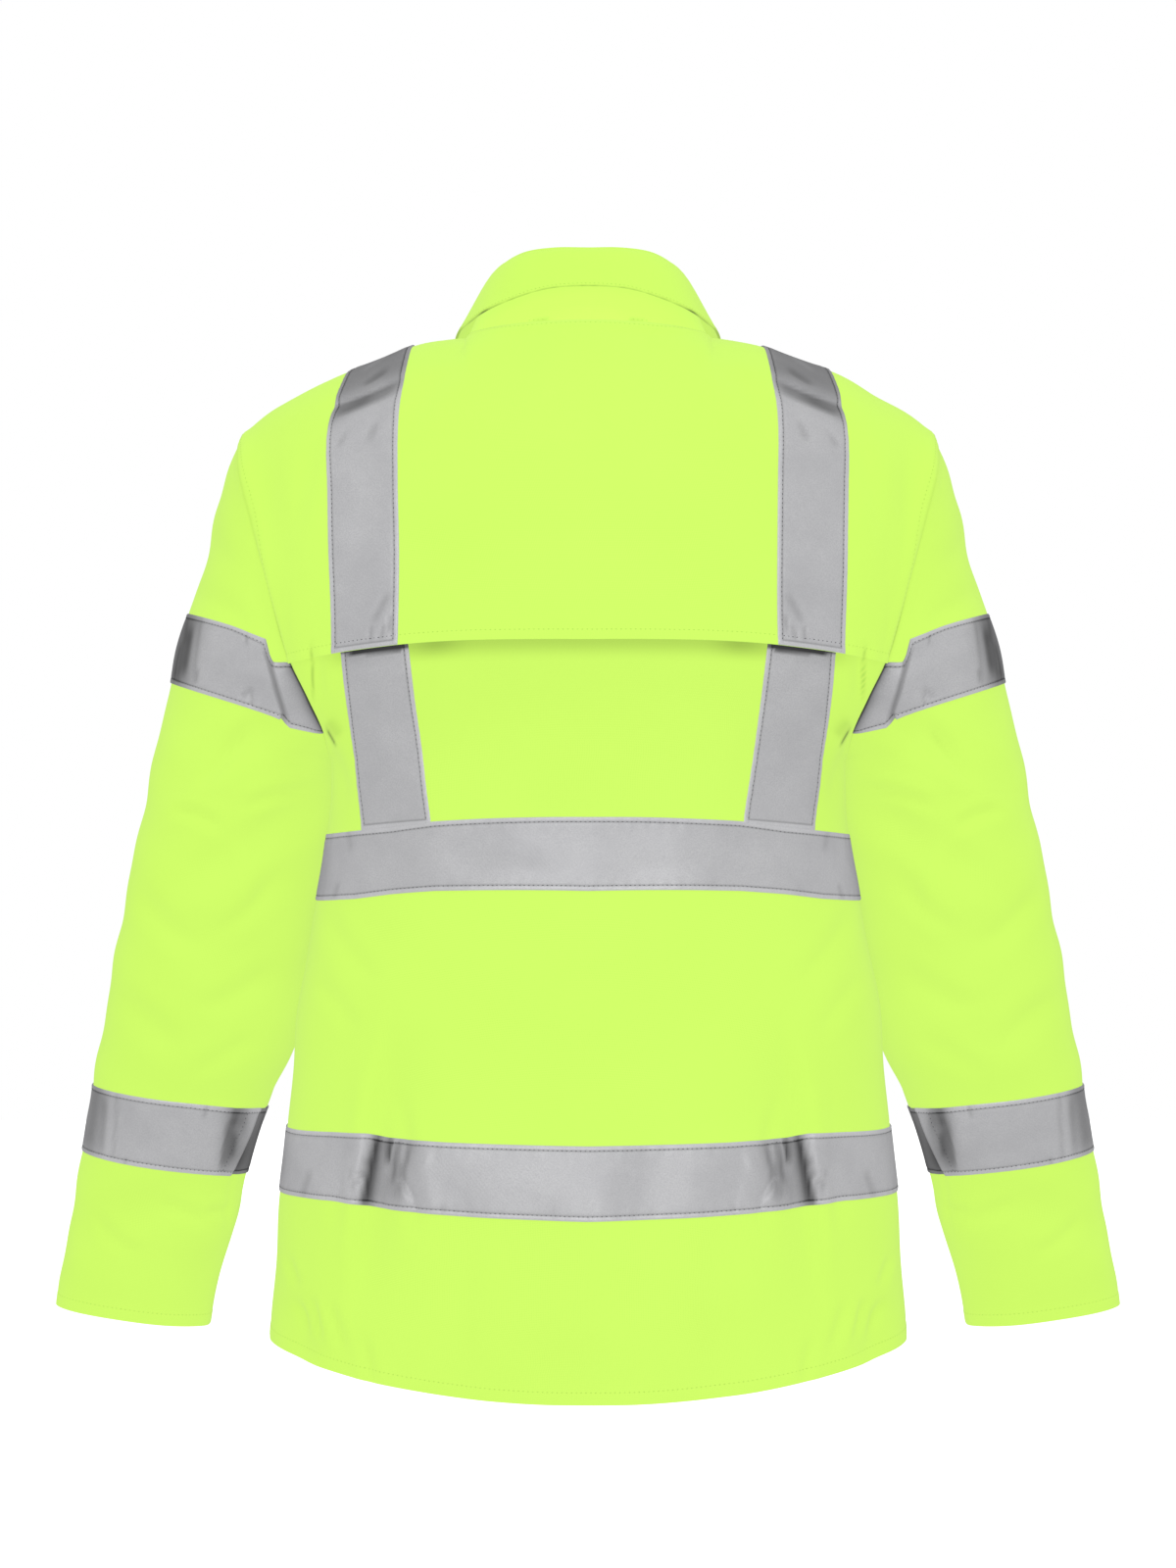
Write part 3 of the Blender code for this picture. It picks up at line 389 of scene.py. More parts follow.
class Finish(Enum):
    """The finishes of the jacket. Its value is what each real material is."""

    SHELL = WovenPolyester("fluorescent_woven_polyester", "#CFFB66", "#C8F45E", "#D2FF6A")
    COLLAR = WovenPolyester(
        "fluorescent_polyester_two_layers", "#CFFB66", "#C6F25C", "#D2FF6A", pucker_mm=7.0
    )
    ZIP_CLOTH = WovenPolyester(
        "woven_zip_tape", "#C2EC58", "#B4DE4C", "#C8F45E", 0.3, thread_mm=1.0, pucker_height_mm=0.2
    )
    TAPE = GlassBeadTape("glass_bead_reflective_tape", "#F2F2F4", "#DCDCDF")
    GREY_THREAD = SewingThread("grey_polyester_thread", "#5A5C61")
    YELLOW_THREAD = SewingThread("fluorescent_polyester_thread", "#C0EA58", 0.34)
    TEETH = MouldedOrCast("moulded_acetal_teeth", "#BFE94F", 0.0, 0.42, glow_strength=0.2)
    SLIDER = MouldedOrCast("lacquered_zinc_casting", "#3C3D40", 1.0, 0.36)


MATERIALS: dict[Finish, bpy.types.Material] = {}


def material_of(finish: Finish) -> bpy.types.Material:
    """Return the finish's material, built the first time it is asked for."""
    if finish not in MATERIALS:
        MATERIALS[finish] = finish.value.material()
    return MATERIALS[finish]


# ---------------- the cut, as in the part's own source
class BodyRow(NamedTuple):
    """One level section of the body, from its centre back to its side."""

    name: str
    back_z: float
    side_z: float
    front_z: float
    half_width: float
    back_depth: float
    front_depth: float


class YokeRow(NamedTuple):
    """One section that ends on the armhole: its fullness squares its curve."""

    name: str
    back_z: float
    back_depth: float
    front_z: float
    front_depth: float
    fullness: float
    slant: float


class SleeveRow(NamedTuple):
    """One ring of the left sleeve, or an open one that spans so many degrees each way."""

    name: str
    outer_x: float
    outer_z: float
    inner_x: float
    inner_z: float
    span: float
    mid_y: float
    back_depth: float
    front_depth: float


class TapeEdge(NamedTuple):
    """The two edges of an upright tape at one height."""

    z: float
    inner: float
    outer: float


class CollarSection(NamedTuple):
    """The collar's fold and its lower edge at one place round the neck."""

    fold: tuple[float, float, float]
    edge: tuple[float, float, float]


BODY_ROWS = tuple(BodyRow(*row) for row in (
    ("hem", -0.7705, -0.742, -0.742, 0.237, 0.15, 0.13),
    ("skirt", -0.706, -0.69, -0.69, 0.2335, 0.149, 0.131),
    ("hem_tape_bottom", -0.642, -0.638, -0.638, 0.2298, 0.147, 0.131),
    ("hem_tape_top", -0.5885, -0.5876, -0.588, 0.225, 0.143, 0.13),
    ("seat", -0.543, -0.545, -0.544, 0.2212, 0.138, 0.128),
    ("hip", -0.498, -0.503, -0.5, 0.2175, 0.133, 0.126),
    ("below_waist", -0.453, -0.461, -0.456, 0.211, 0.128, 0.1245),
    ("waist_tape_bottom", -0.4085, -0.418, -0.411, 0.2035, 0.1245, 0.1235),
    ("waist_tape_top", -0.356, -0.369, -0.359, 0.1945, 0.1235, 0.1235),
    ("above_waist", -0.327, -0.343, -0.329, 0.1925, 0.1265, 0.1255),
))
YOKE_ROWS = tuple(YokeRow(*row) for row in (
    ("armpit", -0.3, 0.1295, -0.302, 0.128, 1.0, 0.0),
    ("arm_low", -0.283, 0.1315, -0.287, 0.1295, 1.08, 0.02),
    ("arm_tape_bottom", -0.267, 0.1335, -0.273, 0.1305, 1.16, 0.04),
    ("arm_tape_middle", -0.25, 0.135, -0.258, 0.131, 1.24, 0.07),
    ("cape_hem", -0.2285, 0.137, -0.24, 0.131, 1.32, 0.12),
    ("blade", -0.175, 0.1385, -0.205, 0.129, 1.42, 0.25),
    ("upper_back", -0.118, 0.134, -0.168, 0.122, 1.5, 0.45),
    ("shoulder_low", -0.072, 0.122, -0.137, 0.112, 1.5, 0.65),
    ("shoulder_middle", -0.037, 0.105, -0.113, 0.101, 1.5, 0.82),
    ("shoulder_high", -0.012, 0.088, -0.093, 0.091, 1.5, 0.93),
    ("shoulder_seam", 0.006, 0.072, -0.075, 0.082, 1.5, 1.0),
))
SHOULDER_LINE_X = (0.09, 0.128, 0.176, 0.202, 0.244, 0.259)
SHOULDER_LINE_Z = (0.0, -0.0074, -0.025, -0.038, -0.06, -0.076)
BACK_TAPE_EDGES = tuple(TapeEdge(*row) for row in (
    (-0.77, 0.118, 0.17),
    (-0.356, 0.112, 0.164),
    (-0.228, 0.128, 0.177),
    (-0.175, 0.1365, 0.1853),
    (-0.07, 0.1365, 0.1865),
    (0.006, 0.128, 0.176),
))
CAPE_TAPE_EDGES = tuple(TapeEdge(*row) for row in (
    (-0.228, 0.1318, 0.1793),
    (-0.175, 0.1318, 0.1822),
    (-0.1, 0.1335, 0.184),
    (-0.07, 0.1345, 0.1855),
    (0.006, 0.128, 0.176),
))
FRONT_TAPE_EDGES = tuple(TapeEdge(*row) for row in (
    (-0.742, 0.112, 0.164),
    (-0.359, 0.112, 0.164),
    (-0.2, 0.118, 0.168),
    (-0.075, 0.128, 0.176),
))
SLEEVE_ROWS = tuple(SleeveRow(*row) for row in (
    ("cuff", 0.4075, -0.728, 0.2895, -0.744, 180, -0.058, 0.045, 0.045),
    ("cuff_top", 0.401, -0.694, 0.282, -0.708, 180, -0.055, 0.049, 0.049),
    ("wrist", 0.3925, -0.65, 0.2695, -0.668, 180, -0.05, 0.054, 0.053),
    ("forearm_tape_bottom", 0.3835, -0.609, 0.26, -0.627, 180, -0.044, 0.058, 0.056),
    ("forearm_tape_top", 0.3745, -0.558, 0.244, -0.576, 180, -0.036, 0.062, 0.06),
    ("forearm", 0.3665, -0.52, 0.229, -0.539, 180, -0.028, 0.067, 0.065),
    ("elbow_low", 0.359, -0.48, 0.2212, -0.5, 180, -0.02, 0.069, 0.068),
    ("elbow", 0.351, -0.44, 0.215, -0.458, 180, -0.012, 0.071, 0.07),
    ("elbow_high", 0.343, -0.4, 0.209, -0.416, 180, -0.006, 0.072, 0.071),
    ("upper_arm", 0.336, -0.368, 0.202, -0.38, 180, -0.002, 0.073, 0.072),
    ("under_armpit", 0.33, -0.34, 0.1968, -0.347, 180, 0.0, 0.075, 0.073),
    ("armpit", 0.3245, -0.313, 0.1925, -0.318, 180, 0.0, 0.077, 0.074),
    ("arm_low", 0.318, -0.285, 0.192, -0.3085, 162, 0.0, 0.079, 0.076),
    ("arm_tape_bottom", 0.312, -0.256, 0.194, -0.293, 142, 0.0, 0.082, 0.078),
    ("arm_tape_middle", 0.3055, -0.231, 0.203, -0.27, 118, 0.0, 0.088, 0.082),
    ("arm_tape_top", 0.299, -0.205, 0.215, -0.244, 98, 0.0, 0.088, 0.083),
    ("cap_wide", 0.283, -0.16, 0.232, -0.185, 78, 0.0, 0.088, 0.084),
    ("cap_middle", 0.2765, -0.124, 0.247, -0.133, 60, 0.0, 0.088, 0.084),
    ("cap_high", 0.27, -0.101, 0.2555, -0.103, 44, 0.0, 0.088, 0.084),
    ("cap_top", 0.2645, -0.088, 0.258, -0.087, 28, 0.0, 0.088, 0.084),
    ("crown", 0.2605, -0.08, 0.259, -0.079, 14, 0.0, 0.088, 0.084),
    ("shoulder_point", 0.259, -0.076, 0.259, -0.076, 0, 0.0, 0.0, 0.0),
))
COLLAR_SECTIONS = tuple(CollarSection(*row) for row in (
    ((0.0, 0.066, 0.059), (0.0, 0.08, 0.0297)),
    ((0.0245, 0.0625, 0.0595), (0.029, 0.078, 0.028)),
    ((0.0455, 0.052, 0.0582), (0.056, 0.07, 0.0215)),
    ((0.06, 0.035, 0.054), (0.0755, 0.056, 0.015)),
    ((0.068, 0.014, 0.049), (0.089, 0.033, 0.0085)),
    ((0.0705, -0.008, 0.0405), (0.0985, 0.002, 0.0055)),
    ((0.069, -0.03, 0.029), (0.1025, -0.033, -0.0066)),
    ((0.059, -0.052, 0.015), (0.0968, -0.0655, -0.028)),
    ((0.044, -0.07, -0.001), (0.081, -0.088, -0.055)),
    ((0.026, -0.082, -0.018), (0.059, -0.101, -0.078)),
    ((0.0065, -0.088, -0.034), (0.036, -0.107, -0.093)),
))

BLADE_ROW = 5
ARMPIT_ROW = 11
NECK_STEPS = 5
TAPE_STEPS = 3
SIDE_STEPS = 4
ARM_STEPS = 10
TAPE_IN = NECK_STEPS + 1
TAPE_OUT = TAPE_IN + TAPE_STEPS
SIDE = TAPE_OUT + SIDE_STEPS

ROUNDNESS = 2.3
NECK_HALF_WIDTH = 0.09
NECK_SIDE_Y = 0.005
NECK_SOFTENING = 8
SOFT_NECK_HALF_WIDTH = 0.135
NECK_FRONT_CURVE = 1.5
NECK_COLUMN_SHARE = 0.74
ROLL_DROP = 0.18
ROLL_DROP_LESS = 0.09
ROUND_OVER_X = 0.04
ROUND_OVER_REACH = 0.09
LEVEL_CURVE = 2.6
DROP_CURVE = 1.5
ZIP_EDGE_X = 0.0052
CAPE_AIR = 0.0012
CAPE_STAND_OFF = 0.015
FALL_BULGE = 0.004
STAND_TOP_INSET = 0.0023
STAND_TOP_DROP = 0.0008
SEAM_GAP = 0.0003

CLOTH_WALL = 0.0012
TAPE_WALL = 0.0009
COLLAR_WALL = 0.0018
# Places on a grid that are closer than this are the same one.
PLACE_SLACK = 1e-9
MESH_STEP = 0.0038
BAND_STEP = 0.0023
# Where the two steps beside a seam are, as shares of a plain step.
GROOVE_STEPS = (0.14, 0.45)
# How far from a seam its pull reaches, and the angle over which an edge of a wall is sharp.
SEAM_PULL_REACH = 0.011
WALL_SHARP_DEGREES = 50
TOOTH_SHARP_DEGREES = 40
# The painted shade is held between these; below 0 it is a painted highlight.
LEAST_SHADE = -0.15
MOST_SHADE = 0.97


def mix(start, end, share):
    """Return the value that lies the given share of the way from start to end."""
    return start + (end - start) * share


def smooth_step(value):
    """Return 0 below 0, 1 above 1 and a smooth rise between, for a number or an array."""
    held = np.clip(value, 0.0, 1.0)
    return held * held * (3 - 2 * held)


def row_number(rows: Sequence[NamedTuple], name: str) -> int:
    """Return the place of the row of that name in its table."""
    return [row.name for row in rows].index(name)


def body_row(name: str) -> int:
    """Return a body row's number, counted from the hem."""
    return row_number(BODY_ROWS + YOKE_ROWS, name)


def tape_rows(rows: Sequence[NamedTuple], name: str) -> tuple[float, float]:
    """Return the rows that a band's bottom and top edges lie on."""
    return float(row_number(rows, name + "_bottom")), float(row_number(rows, name + "_top"))


def both_halves(half: list[Array]) -> list[Array]:
    """Return a whole row from the left, from the half that runs out from its centre to the left."""
    return half[::-1] + [point * MIRROR for point in half[1:]]


def sleeve_point(row: SleeveRow, angle: float) -> Array:
    """Find a point of the left sleeve.

    Args:
        row: The ring it is on.
        angle: Degrees from the sleeve's outside, towards the back if positive.

    Returns:
        The point in metres.
    """
    turn = math.radians(angle)
    reach = 1 - math.cos(math.radians(row.span)) if row.span else 1.0
    share = (1 - math.cos(turn)) / reach
    depth = row.back_depth if angle >= 0 else row.front_depth
    return np.array((
        mix(row.outer_x, row.inner_x, share),
        row.mid_y + depth * math.sin(turn),
        mix(row.outer_z, row.inner_z, share),
    ))


class Section(NamedTuple):
    """One row of half the body, ready to be walked from its centre to its edge."""

    centre_z: float
    depth: float
    edge: Array
    fullness: float
    slant: float


class BodyHalf:
    """The back or the front of the body as a form over a general figure."""

    def __init__(self, is_back: bool) -> None:
        """Gather the half's sections from the tables of the cut."""
        self.is_back = is_back
        self.sections: list[Section] = []
        for row in BODY_ROWS:
            edge = np.array((row.half_width, 0.0, row.side_z))
            self.sections.append(Section(*self._middle(row), edge, 1.0, 0.0))
        for row, sleeve_row in zip(YOKE_ROWS, SLEEVE_ROWS[ARMPIT_ROW:]):
            edge = sleeve_point(sleeve_row, sleeve_row.span if is_back else -sleeve_row.span)
            self.sections.append(Section(*self._middle(row), edge, row.fullness, row.slant))

    def _middle(self, row: NamedTuple) -> tuple[float, float]:
        """Return a row's height and depth on its centre line."""
        if self.is_back:
            return row.back_z, row.back_depth
        return row.front_z, row.front_depth

    def _edge_depth(self, section: Section) -> float:
        """Return how far out a section's edge is."""
        return section.edge[1] if self.is_back else -section.edge[1]

    def _shoulder_top(self, x: float, slant: float) -> tuple[float, float]:
        """Return the height and depth of the neck and shoulder line at a distance from the centre."""
        row = YOKE_ROWS[-1]
        hole = math.sqrt(max(1 - (x / NECK_HALF_WIDTH) ** 2, 0.0))
        soft = 0.5 * (1 + math.cos(math.pi * min(x / SOFT_NECK_HALF_WIDTH, 1.0)))
        rise = mix(soft, hole, slant ** NECK_SOFTENING)
        reach = max(x - NECK_HALF_WIDTH, 0.0) / (SHOULDER_LINE_X[-1] - NECK_HALF_WIDTH)
        side_depth = (NECK_SIDE_Y if self.is_back else -NECK_SIDE_Y) * (1 - reach)
        side_z = float(np.interp(x, SHOULDER_LINE_X, SHOULDER_LINE_Z))
        if self.is_back:
            return side_z + row.back_z * rise, mix(side_depth, row.back_depth, rise)
        return side_z + row.front_z * rise ** NECK_FRONT_CURVE, mix(side_depth, row.front_depth, rise)

    def _low_depth(self, section: Section, x: float) -> float:
        """Return the depth of a section below the shoulder blades."""
        share = min(x / section.edge[0], 1.0)
        curve = (1 - share ** ROUNDNESS) ** (section.fullness / ROUNDNESS)
        return mix(self._edge_depth(section), section.depth, curve)

    def _rolled_depth(self, section: Section, x: float, z: float) -> float:
        """Return the depth of a section above the shoulder blades, where the cloth rolls over."""
        top_z, top_depth = self._shoulder_top(x, section.slant)
        blade = self.sections[len(BODY_ROWS) + BLADE_ROW]
        full = self._low_depth(blade, min(x, blade.edge[0]))
        whole_drop = ROLL_DROP - ROLL_DROP_LESS * min(x / SHOULDER_LINE_X[-1], 1.0)
        share = min(max(top_z - z, 0.0) / whole_drop, 1.0)
        soft = math.sin(share * math.pi / 2)
        round_over = math.sqrt(1 - (1 - share) ** 2)
        rolled = mix(soft, round_over, float(smooth_step((x - ROUND_OVER_X) / ROUND_OVER_REACH)))
        return mix(top_depth, full, rolled)

    def _height(self, section: Section, x: float) -> float:
        """Return the height of a section at a distance from the centre line."""
        edge = section.edge
        share = min(x / edge[0], 1.0)
        level = mix(section.centre_z, edge[2], share ** (LEVEL_CURVE if section.slant else 2))
        top_z, centre_top, edge_top = (
            self._shoulder_top(place, section.slant)[0] for place in (x, 0.0, edge[0])
        )
        drop = mix(centre_top - section.centre_z, edge_top - edge[2], share ** DROP_CURVE)
        return mix(level, top_z - drop, section.slant)

    def point(self, row: int, x: float) -> Array:
        """Find the point of a row at a distance from the centre line."""
        section = self.sections[row]
        edge = section.edge
        z = self._height(section, x)
        y = self._low_depth(section, x)
        if row > len(BODY_ROWS) + BLADE_ROW:
            share = min(x / edge[0], 1.0) ** 2
            centre_error = section.depth - self._rolled_depth(section, 0.0, section.centre_z)
            edge_error = self._edge_depth(section) - self._rolled_depth(section, edge[0], edge[2])
            y = self._rolled_depth(section, x, z) + mix(centre_error, edge_error, share)
        return np.array((x, y if self.is_back else -y, z))

    def column_places(self, row: int, edges: Sequence[TapeEdge], first_x: float) -> list[float]:
        """Find how far each column of a row is from the centre line: neck, tape, then side.

        Args:
            row: The row's number from the hem.
            edges: The edges of the upright tape, from the bottom up.
            first_x: The least distance, where the panel has a front edge.

        Returns:
            Distances in metres, in order.
        """
        section = self.sections[row]
        heights = [edge.z for edge in edges]
        inner = float(np.interp(section.centre_z, heights, [edge.inner for edge in edges]))
        outer = float(np.interp(section.centre_z, heights, [edge.outer for edge in edges]))
        neck_share = float(smooth_step(section.slant)) ** 2
        neck = mix(NECK_COLUMN_SHARE * inner, NECK_HALF_WIDTH, neck_share)
        places = []
        for step in range(NECK_STEPS + 1):
            even = step / NECK_STEPS
            share = mix(even, math.sin(even * math.pi / 2), neck_share)
            places.append(max(neck * share, first_x))
        places += [mix(inner, outer, step / TAPE_STEPS) for step in range(TAPE_STEPS + 1)]
        start = math.asin((outer / section.edge[0]) ** (ROUNDNESS / 2))
        for step in range(1, SIDE_STEPS + 1):
            turn = mix(start, math.pi / 2, step / SIDE_STEPS)
            places.append(section.edge[0] * math.sin(turn) ** (2 / ROUNDNESS))
        return places


# ---------------- fine grids of cloth
def spline(points: Array, places: Array, closed: bool = False) -> Array:
    """Read a smooth curve through points at fractional places.

    Args:
        points: The points along the first axis.
        places: Where to read, counted in points.
        closed: Whether the curve runs on from its last point to its first.

    Returns:
        One point, or one line of points, for each place.
    """
    steps = np.maximum(np.linalg.norm(np.diff(points, axis=0), axis=-1, keepdims=True), 1e-7)
    slopes = np.diff(points, axis=0) / steps
    tangents = np.empty_like(points)
    tangents[1:-1] = (slopes[:-1] * steps[1:] + slopes[1:] * steps[:-1]) / (steps[:-1] + steps[1:])
    if closed:
        joined = (slopes[-1] * steps[0] + slopes[0] * steps[-1]) / (steps[0] + steps[-1])
        tangents[0] = joined
        tangents[-1] = joined
    else:
        tangents[0] = 1.5 * slopes[0] - 0.5 * tangents[1]
        tangents[-1] = 1.5 * slopes[-1] - 0.5 * tangents[-2]
    low = np.clip(places.astype(int), 0, len(points) - 2)
    share = (places - low).reshape((-1,) + (1,) * (points.ndim - 1))
    square, cube = share ** 2, share ** 3
    return (
        (2 * cube - 3 * square + 1) * points[low]
        + (cube - 2 * square + share) * tangents[low] * steps[low]
        + (3 * square - 2 * cube) * points[low + 1]
        + (cube - square) * tangents[low + 1] * steps[low]
    )


def broken_spline(points: Array, places: Array, breaks: Sequence[int]) -> Array:
    """Read a curve that has a corner at each of the given points."""
    result = np.empty((len(places),) + points.shape[1:])
    ends = [0, *breaks, len(points) - 1]
    for first, last in zip(ends, ends[1:]):
        held = (places >= first) & (places <= last)
        result[held] = spline(points[first:last + 1], places[held] - first)
    return result


def fine_counts(coarse: Array) -> list[int]:
    """Return how many fine steps each coarse step along the first axis is cut into."""
    chords = np.linalg.norm(np.diff(coarse, axis=0), axis=-1).mean(axis=1)
    return [max(int(math.ceil(chord / MESH_STEP)), 2) for chord in chords]


def fine_places(counts: Sequence[int]) -> Array:
    """Return the fine places of those counts, with two more beside each end for a seam's groove."""
    places = [row + step / count for row, count in enumerate(counts) for step in range(count)]
    places.append(float(len(counts)))
    for share in GROOVE_STEPS:
        places.append(share / counts[0])
        places.append(len(counts) - share / counts[-1])
    return np.array(sorted(places))


@dataclass
class ClothGrid:
    """Points over one cut panel, seen from outside: rows run up and columns run left to right.

    Attributes:
        points: Rows by columns by three, in metres.
        rows: Each row's place, counted in the coarse rows of the cut.
        columns: Each column's place, counted in the coarse columns of the cut.
        normals: The way out at each point.
        shade: Painted shade, the share of light that creases and pieces over it keep off each point; below 0 a
            painted highlight.
    """

    points: Array
    rows: Array
    columns: Array
    normals: Array
    shade: Optional[Array] = None

    @staticmethod
    def from_points(points: Array, rows: Array, columns: Array) -> "ClothGrid":
        """Make a grid and find its normals by itself."""
        grid = ClothGrid(points, rows, columns, np.zeros_like(points))
        grid.find_normals()
        return grid

    def normal_sums(self) -> Array:
        """Return the summed face normals at each point, with points that coincide counted as one."""
        p = self.points
        faces = np.cross(p[1:, 1:] - p[:-1, :-1], p[1:, :-1] - p[:-1, 1:])
        sums = np.zeros_like(p)
        first, last = slice(None, -1), slice(1, None)
        for corner in ((first, first), (last, first), (first, last), (last, last)):
            sums[corner] += faces
        _, inverse = np.unique(point_keys(p), axis=0, return_inverse=True)
        inverse = inverse.ravel()
        totals = np.zeros((inverse.max() + 1, 3))
        np.add.at(totals, inverse, sums.reshape(-1, 3))
        return totals[inverse].reshape(p.shape)

    def find_normals(self) -> None:
        """Set the normals from this grid's own faces."""
        self.normals = unit(self.normal_sums())

    def mirrored(self) -> "ClothGrid":
        """Return the same panel for the other side of the body."""
        both_ends = self.columns[0] + self.columns[-1]
        shade = None if self.shade is None else self.shade[:, ::-1]
        points, normals = self.points[:, ::-1] * MIRROR, self.normals[:, ::-1] * MIRROR
        return ClothGrid(points, self.rows, both_ends - self.columns[::-1], normals, shade)

    def moved(self, distance: Array | float) -> "ClothGrid":
        """Return the grid moved out along its normals, keeping them."""
        out = np.asarray(distance, dtype=float)
        if out.ndim:
            out = out[..., None]
        points = self.points + self.normals * out
        return ClothGrid(points, self.rows, self.columns, self.normals, self.shade)

    def at(
        self, rows: Sequence[float], columns: Sequence[float], slip: Optional[Array] = None
    ) -> "ClothGrid":
        """Read the grid at other places, on smooth curves through its points.

        Args:
            rows: Row places, in order.
            columns: Column places, in order.
            slip: How far along the columns each point's own place is off, as rows by columns.

        Returns:
            A grid of those rows and columns.
        """
        rows, columns = np.asarray(rows, dtype=float), np.asarray(columns, dtype=float)
        up = np.interp(rows, self.rows, range(len(self.rows)))
        spots = columns[None, :] + (np.zeros((len(rows), 1)) if slip is None else slip)
        along = np.interp(spots, self.columns, range(len(self.columns)))
        read = []
        for values in (self.points, self.normals):
            lines = spline(values, up)
            read.append(np.array([spline(line, places) for line, places in zip(lines, along)]))
        return ClothGrid(read[0], rows, columns, unit(read[1]))

    def raised(self, band: "ClothGrid", rise: Array, slip: Optional[Array] = None) -> "ClothGrid":
        """Read this panel again where a band on it lies higher.

        Args:
            band: A grid that was read from this panel.
            rise: How much higher each of its points lies, in metres along the cloth.
            slip: How far along the columns each point's own place is off.

        Returns:
            The band's grid in its new place.
        """
        lengths = self.lengths(0).mean(axis=1)
        reach = np.interp(band.rows, self.rows, lengths)[:, None] + rise
        spots = band.columns[None, :] + (0.0 if slip is None else slip)
        taps = []
        for places in (
            np.interp(reach, lengths, range(len(self.rows))),
            np.interp(np.broadcast_to(spots, reach.shape), self.columns, range(len(self.columns))),
        ):
            last = self.points.shape[len(taps)] - 1
            low = np.clip(places.astype(int), 0, last - 1)
            share = places - low
            square, cube = share ** 2, share ** 3
            weights = (
                square - (share + cube) / 2, 1 - 2.5 * square + 1.5 * cube,
                share / 2 + 2 * square - 1.5 * cube, (cube - square) / 2,
            )
            taps.append([(np.clip(low + step - 1, 0, last), weight) for step, weight in enumerate(weights)])
        points, normals = (
            sum(values[i, j] * (a * b)[..., None] for i, a in taps[0] for j, b in taps[1])
            for values in (self.points, self.normals)
        )
        return ClothGrid(points, band.rows, band.columns, unit(normals))

    def lengths(self, axis: int) -> Array:
        """Return each point's distance along the cloth from the first row or the first column."""
        steps = np.linalg.norm(np.diff(self.points, axis=axis), axis=-1)
        start = np.zeros_like(np.take(steps, [0], axis=axis))
        return np.concatenate((start, np.cumsum(steps, axis=axis)), axis=axis)

    def edge_distance(self, edges: str) -> Array:
        """Return each point's distance along the cloth to the nearest of the named edges.

        Args:
            edges: Any of the letters l, r, b and t, for left, right, bottom and top.

        Returns:
            Distances in metres, one for each point.
        """
        across, up = self.lengths(1), self.lengths(0)
        found = np.full(across.shape, 1.0)
        options = {"l": across, "r": across[:, -1:] - across, "b": up, "t": up[-1:] - up}
        for letter in edges:
            found = np.minimum(found, options[letter])
        return found

    def inset(self, edge: str, distance: float) -> "ClothLine":
        """Return the line that runs a set distance in from one edge.

        Args:
            edge: One letter of l, r, b and t.
            distance: How far in, in metres along the cloth.

        Returns:
            The line, from the left to the right or from the bottom up.
        """
        axis = 0 if edge in "bt" else 1
        lengths = np.moveaxis(self.lengths(axis), axis, 0)
        points = np.moveaxis(self.points, axis, 0)
        normals = np.moveaxis(self.normals, axis, 0)
        found = np.empty((lengths.shape[1], 2, 3))
        for number in range(lengths.shape[1]):
            reach = lengths[:, number]
            place = distance if edge in "bl" else reach[-1] - distance
            for side, values in enumerate((points, normals)):
                for part in range(3):
                    found[number, side, part] = np.interp(place, reach, values[:, number, part])
        return ClothLine(found[:, 0], unit(found[:, 1]))

    def line(self, rows: Sequence[float], columns: Sequence[float]) -> "ClothLine":
        """Return the line along one row or up one column."""
        read = self.at(rows, columns)
        return ClothLine(read.points.reshape(-1, 3), read.normals.reshape(-1, 3))


@dataclass
class ClothLine:
    """A line on cloth with the way out at each of its points."""

    points: Array
    normals: Array

    def reach(self) -> Array:
        """Return each point's distance along the line from its start."""
        steps = np.linalg.norm(np.diff(self.points, axis=0), axis=1)
        return np.concatenate(([0.0], np.cumsum(steps)))

    def trimmed(self, start: float, end: float) -> "ClothLine":
        """Return the line without so much of each end, in metres."""
        reach = self.reach()
        held = (reach > start) & (reach < reach[-1] - end)
        return ClothLine(self.points[held], self.normals[held])

    def at(self, places: Array) -> "ClothLine":
        """Return the points and the ways out at distances along the line."""
        reach = self.reach()
        points, normals = (
            np.stack([np.interp(places, reach, values[:, axis]) for axis in range(3)], axis=1)
            for values in (self.points, self.normals)
        )
        return ClothLine(points, unit(normals))


def point_keys(points: Array) -> Array:
    """Return whole numbers that are the same for points that coincide."""
    return np.round(points.reshape(-1, 3) * 1e6).astype(np.int64)


def unit(vectors: Array) -> Array:
    """Return the vectors at a length of one."""
    return vectors / np.maximum(np.linalg.norm(vectors, axis=-1, keepdims=True), 1e-12)


def join_normals(grids: Sequence[ClothGrid]) -> None:
    """Find the normals of grids that are sewn together, so that a seam has one way out.

    Args:
        grids: The panels. Where two lie face to face, as under the arm, each keeps its own.
    """
    sums = [grid.normal_sums() for grid in grids]
    shared: dict[tuple[int, ...], list[tuple[int, Array]]] = {}
    rims = []
    for number, grid in enumerate(grids):
        rim = np.zeros(grid.points.shape[:2], dtype=bool)
        rim[[0, -1], :] = True
        rim[:, [0, -1]] = True
        places = np.argwhere(rim)
        keys = [tuple(key) for key in point_keys(grid.points[rim])]
        rims.append((places, keys))
        for (row, column), key in zip(places, keys):
            met = shared.setdefault(key, [])
            if all(other != number for other, _ in met):
                met.append((number, sums[number][row, column]))
    for number, grid in enumerate(grids):
        total = sums[number].copy()
        for (row, column), key in zip(*rims[number]):
            own = sums[number][row, column]
            for other, value in shared[key]:
                if other != number and float(own @ value) > 0:
                    total[row, column] = total[row, column] + value
        grid.normals = unit(total)


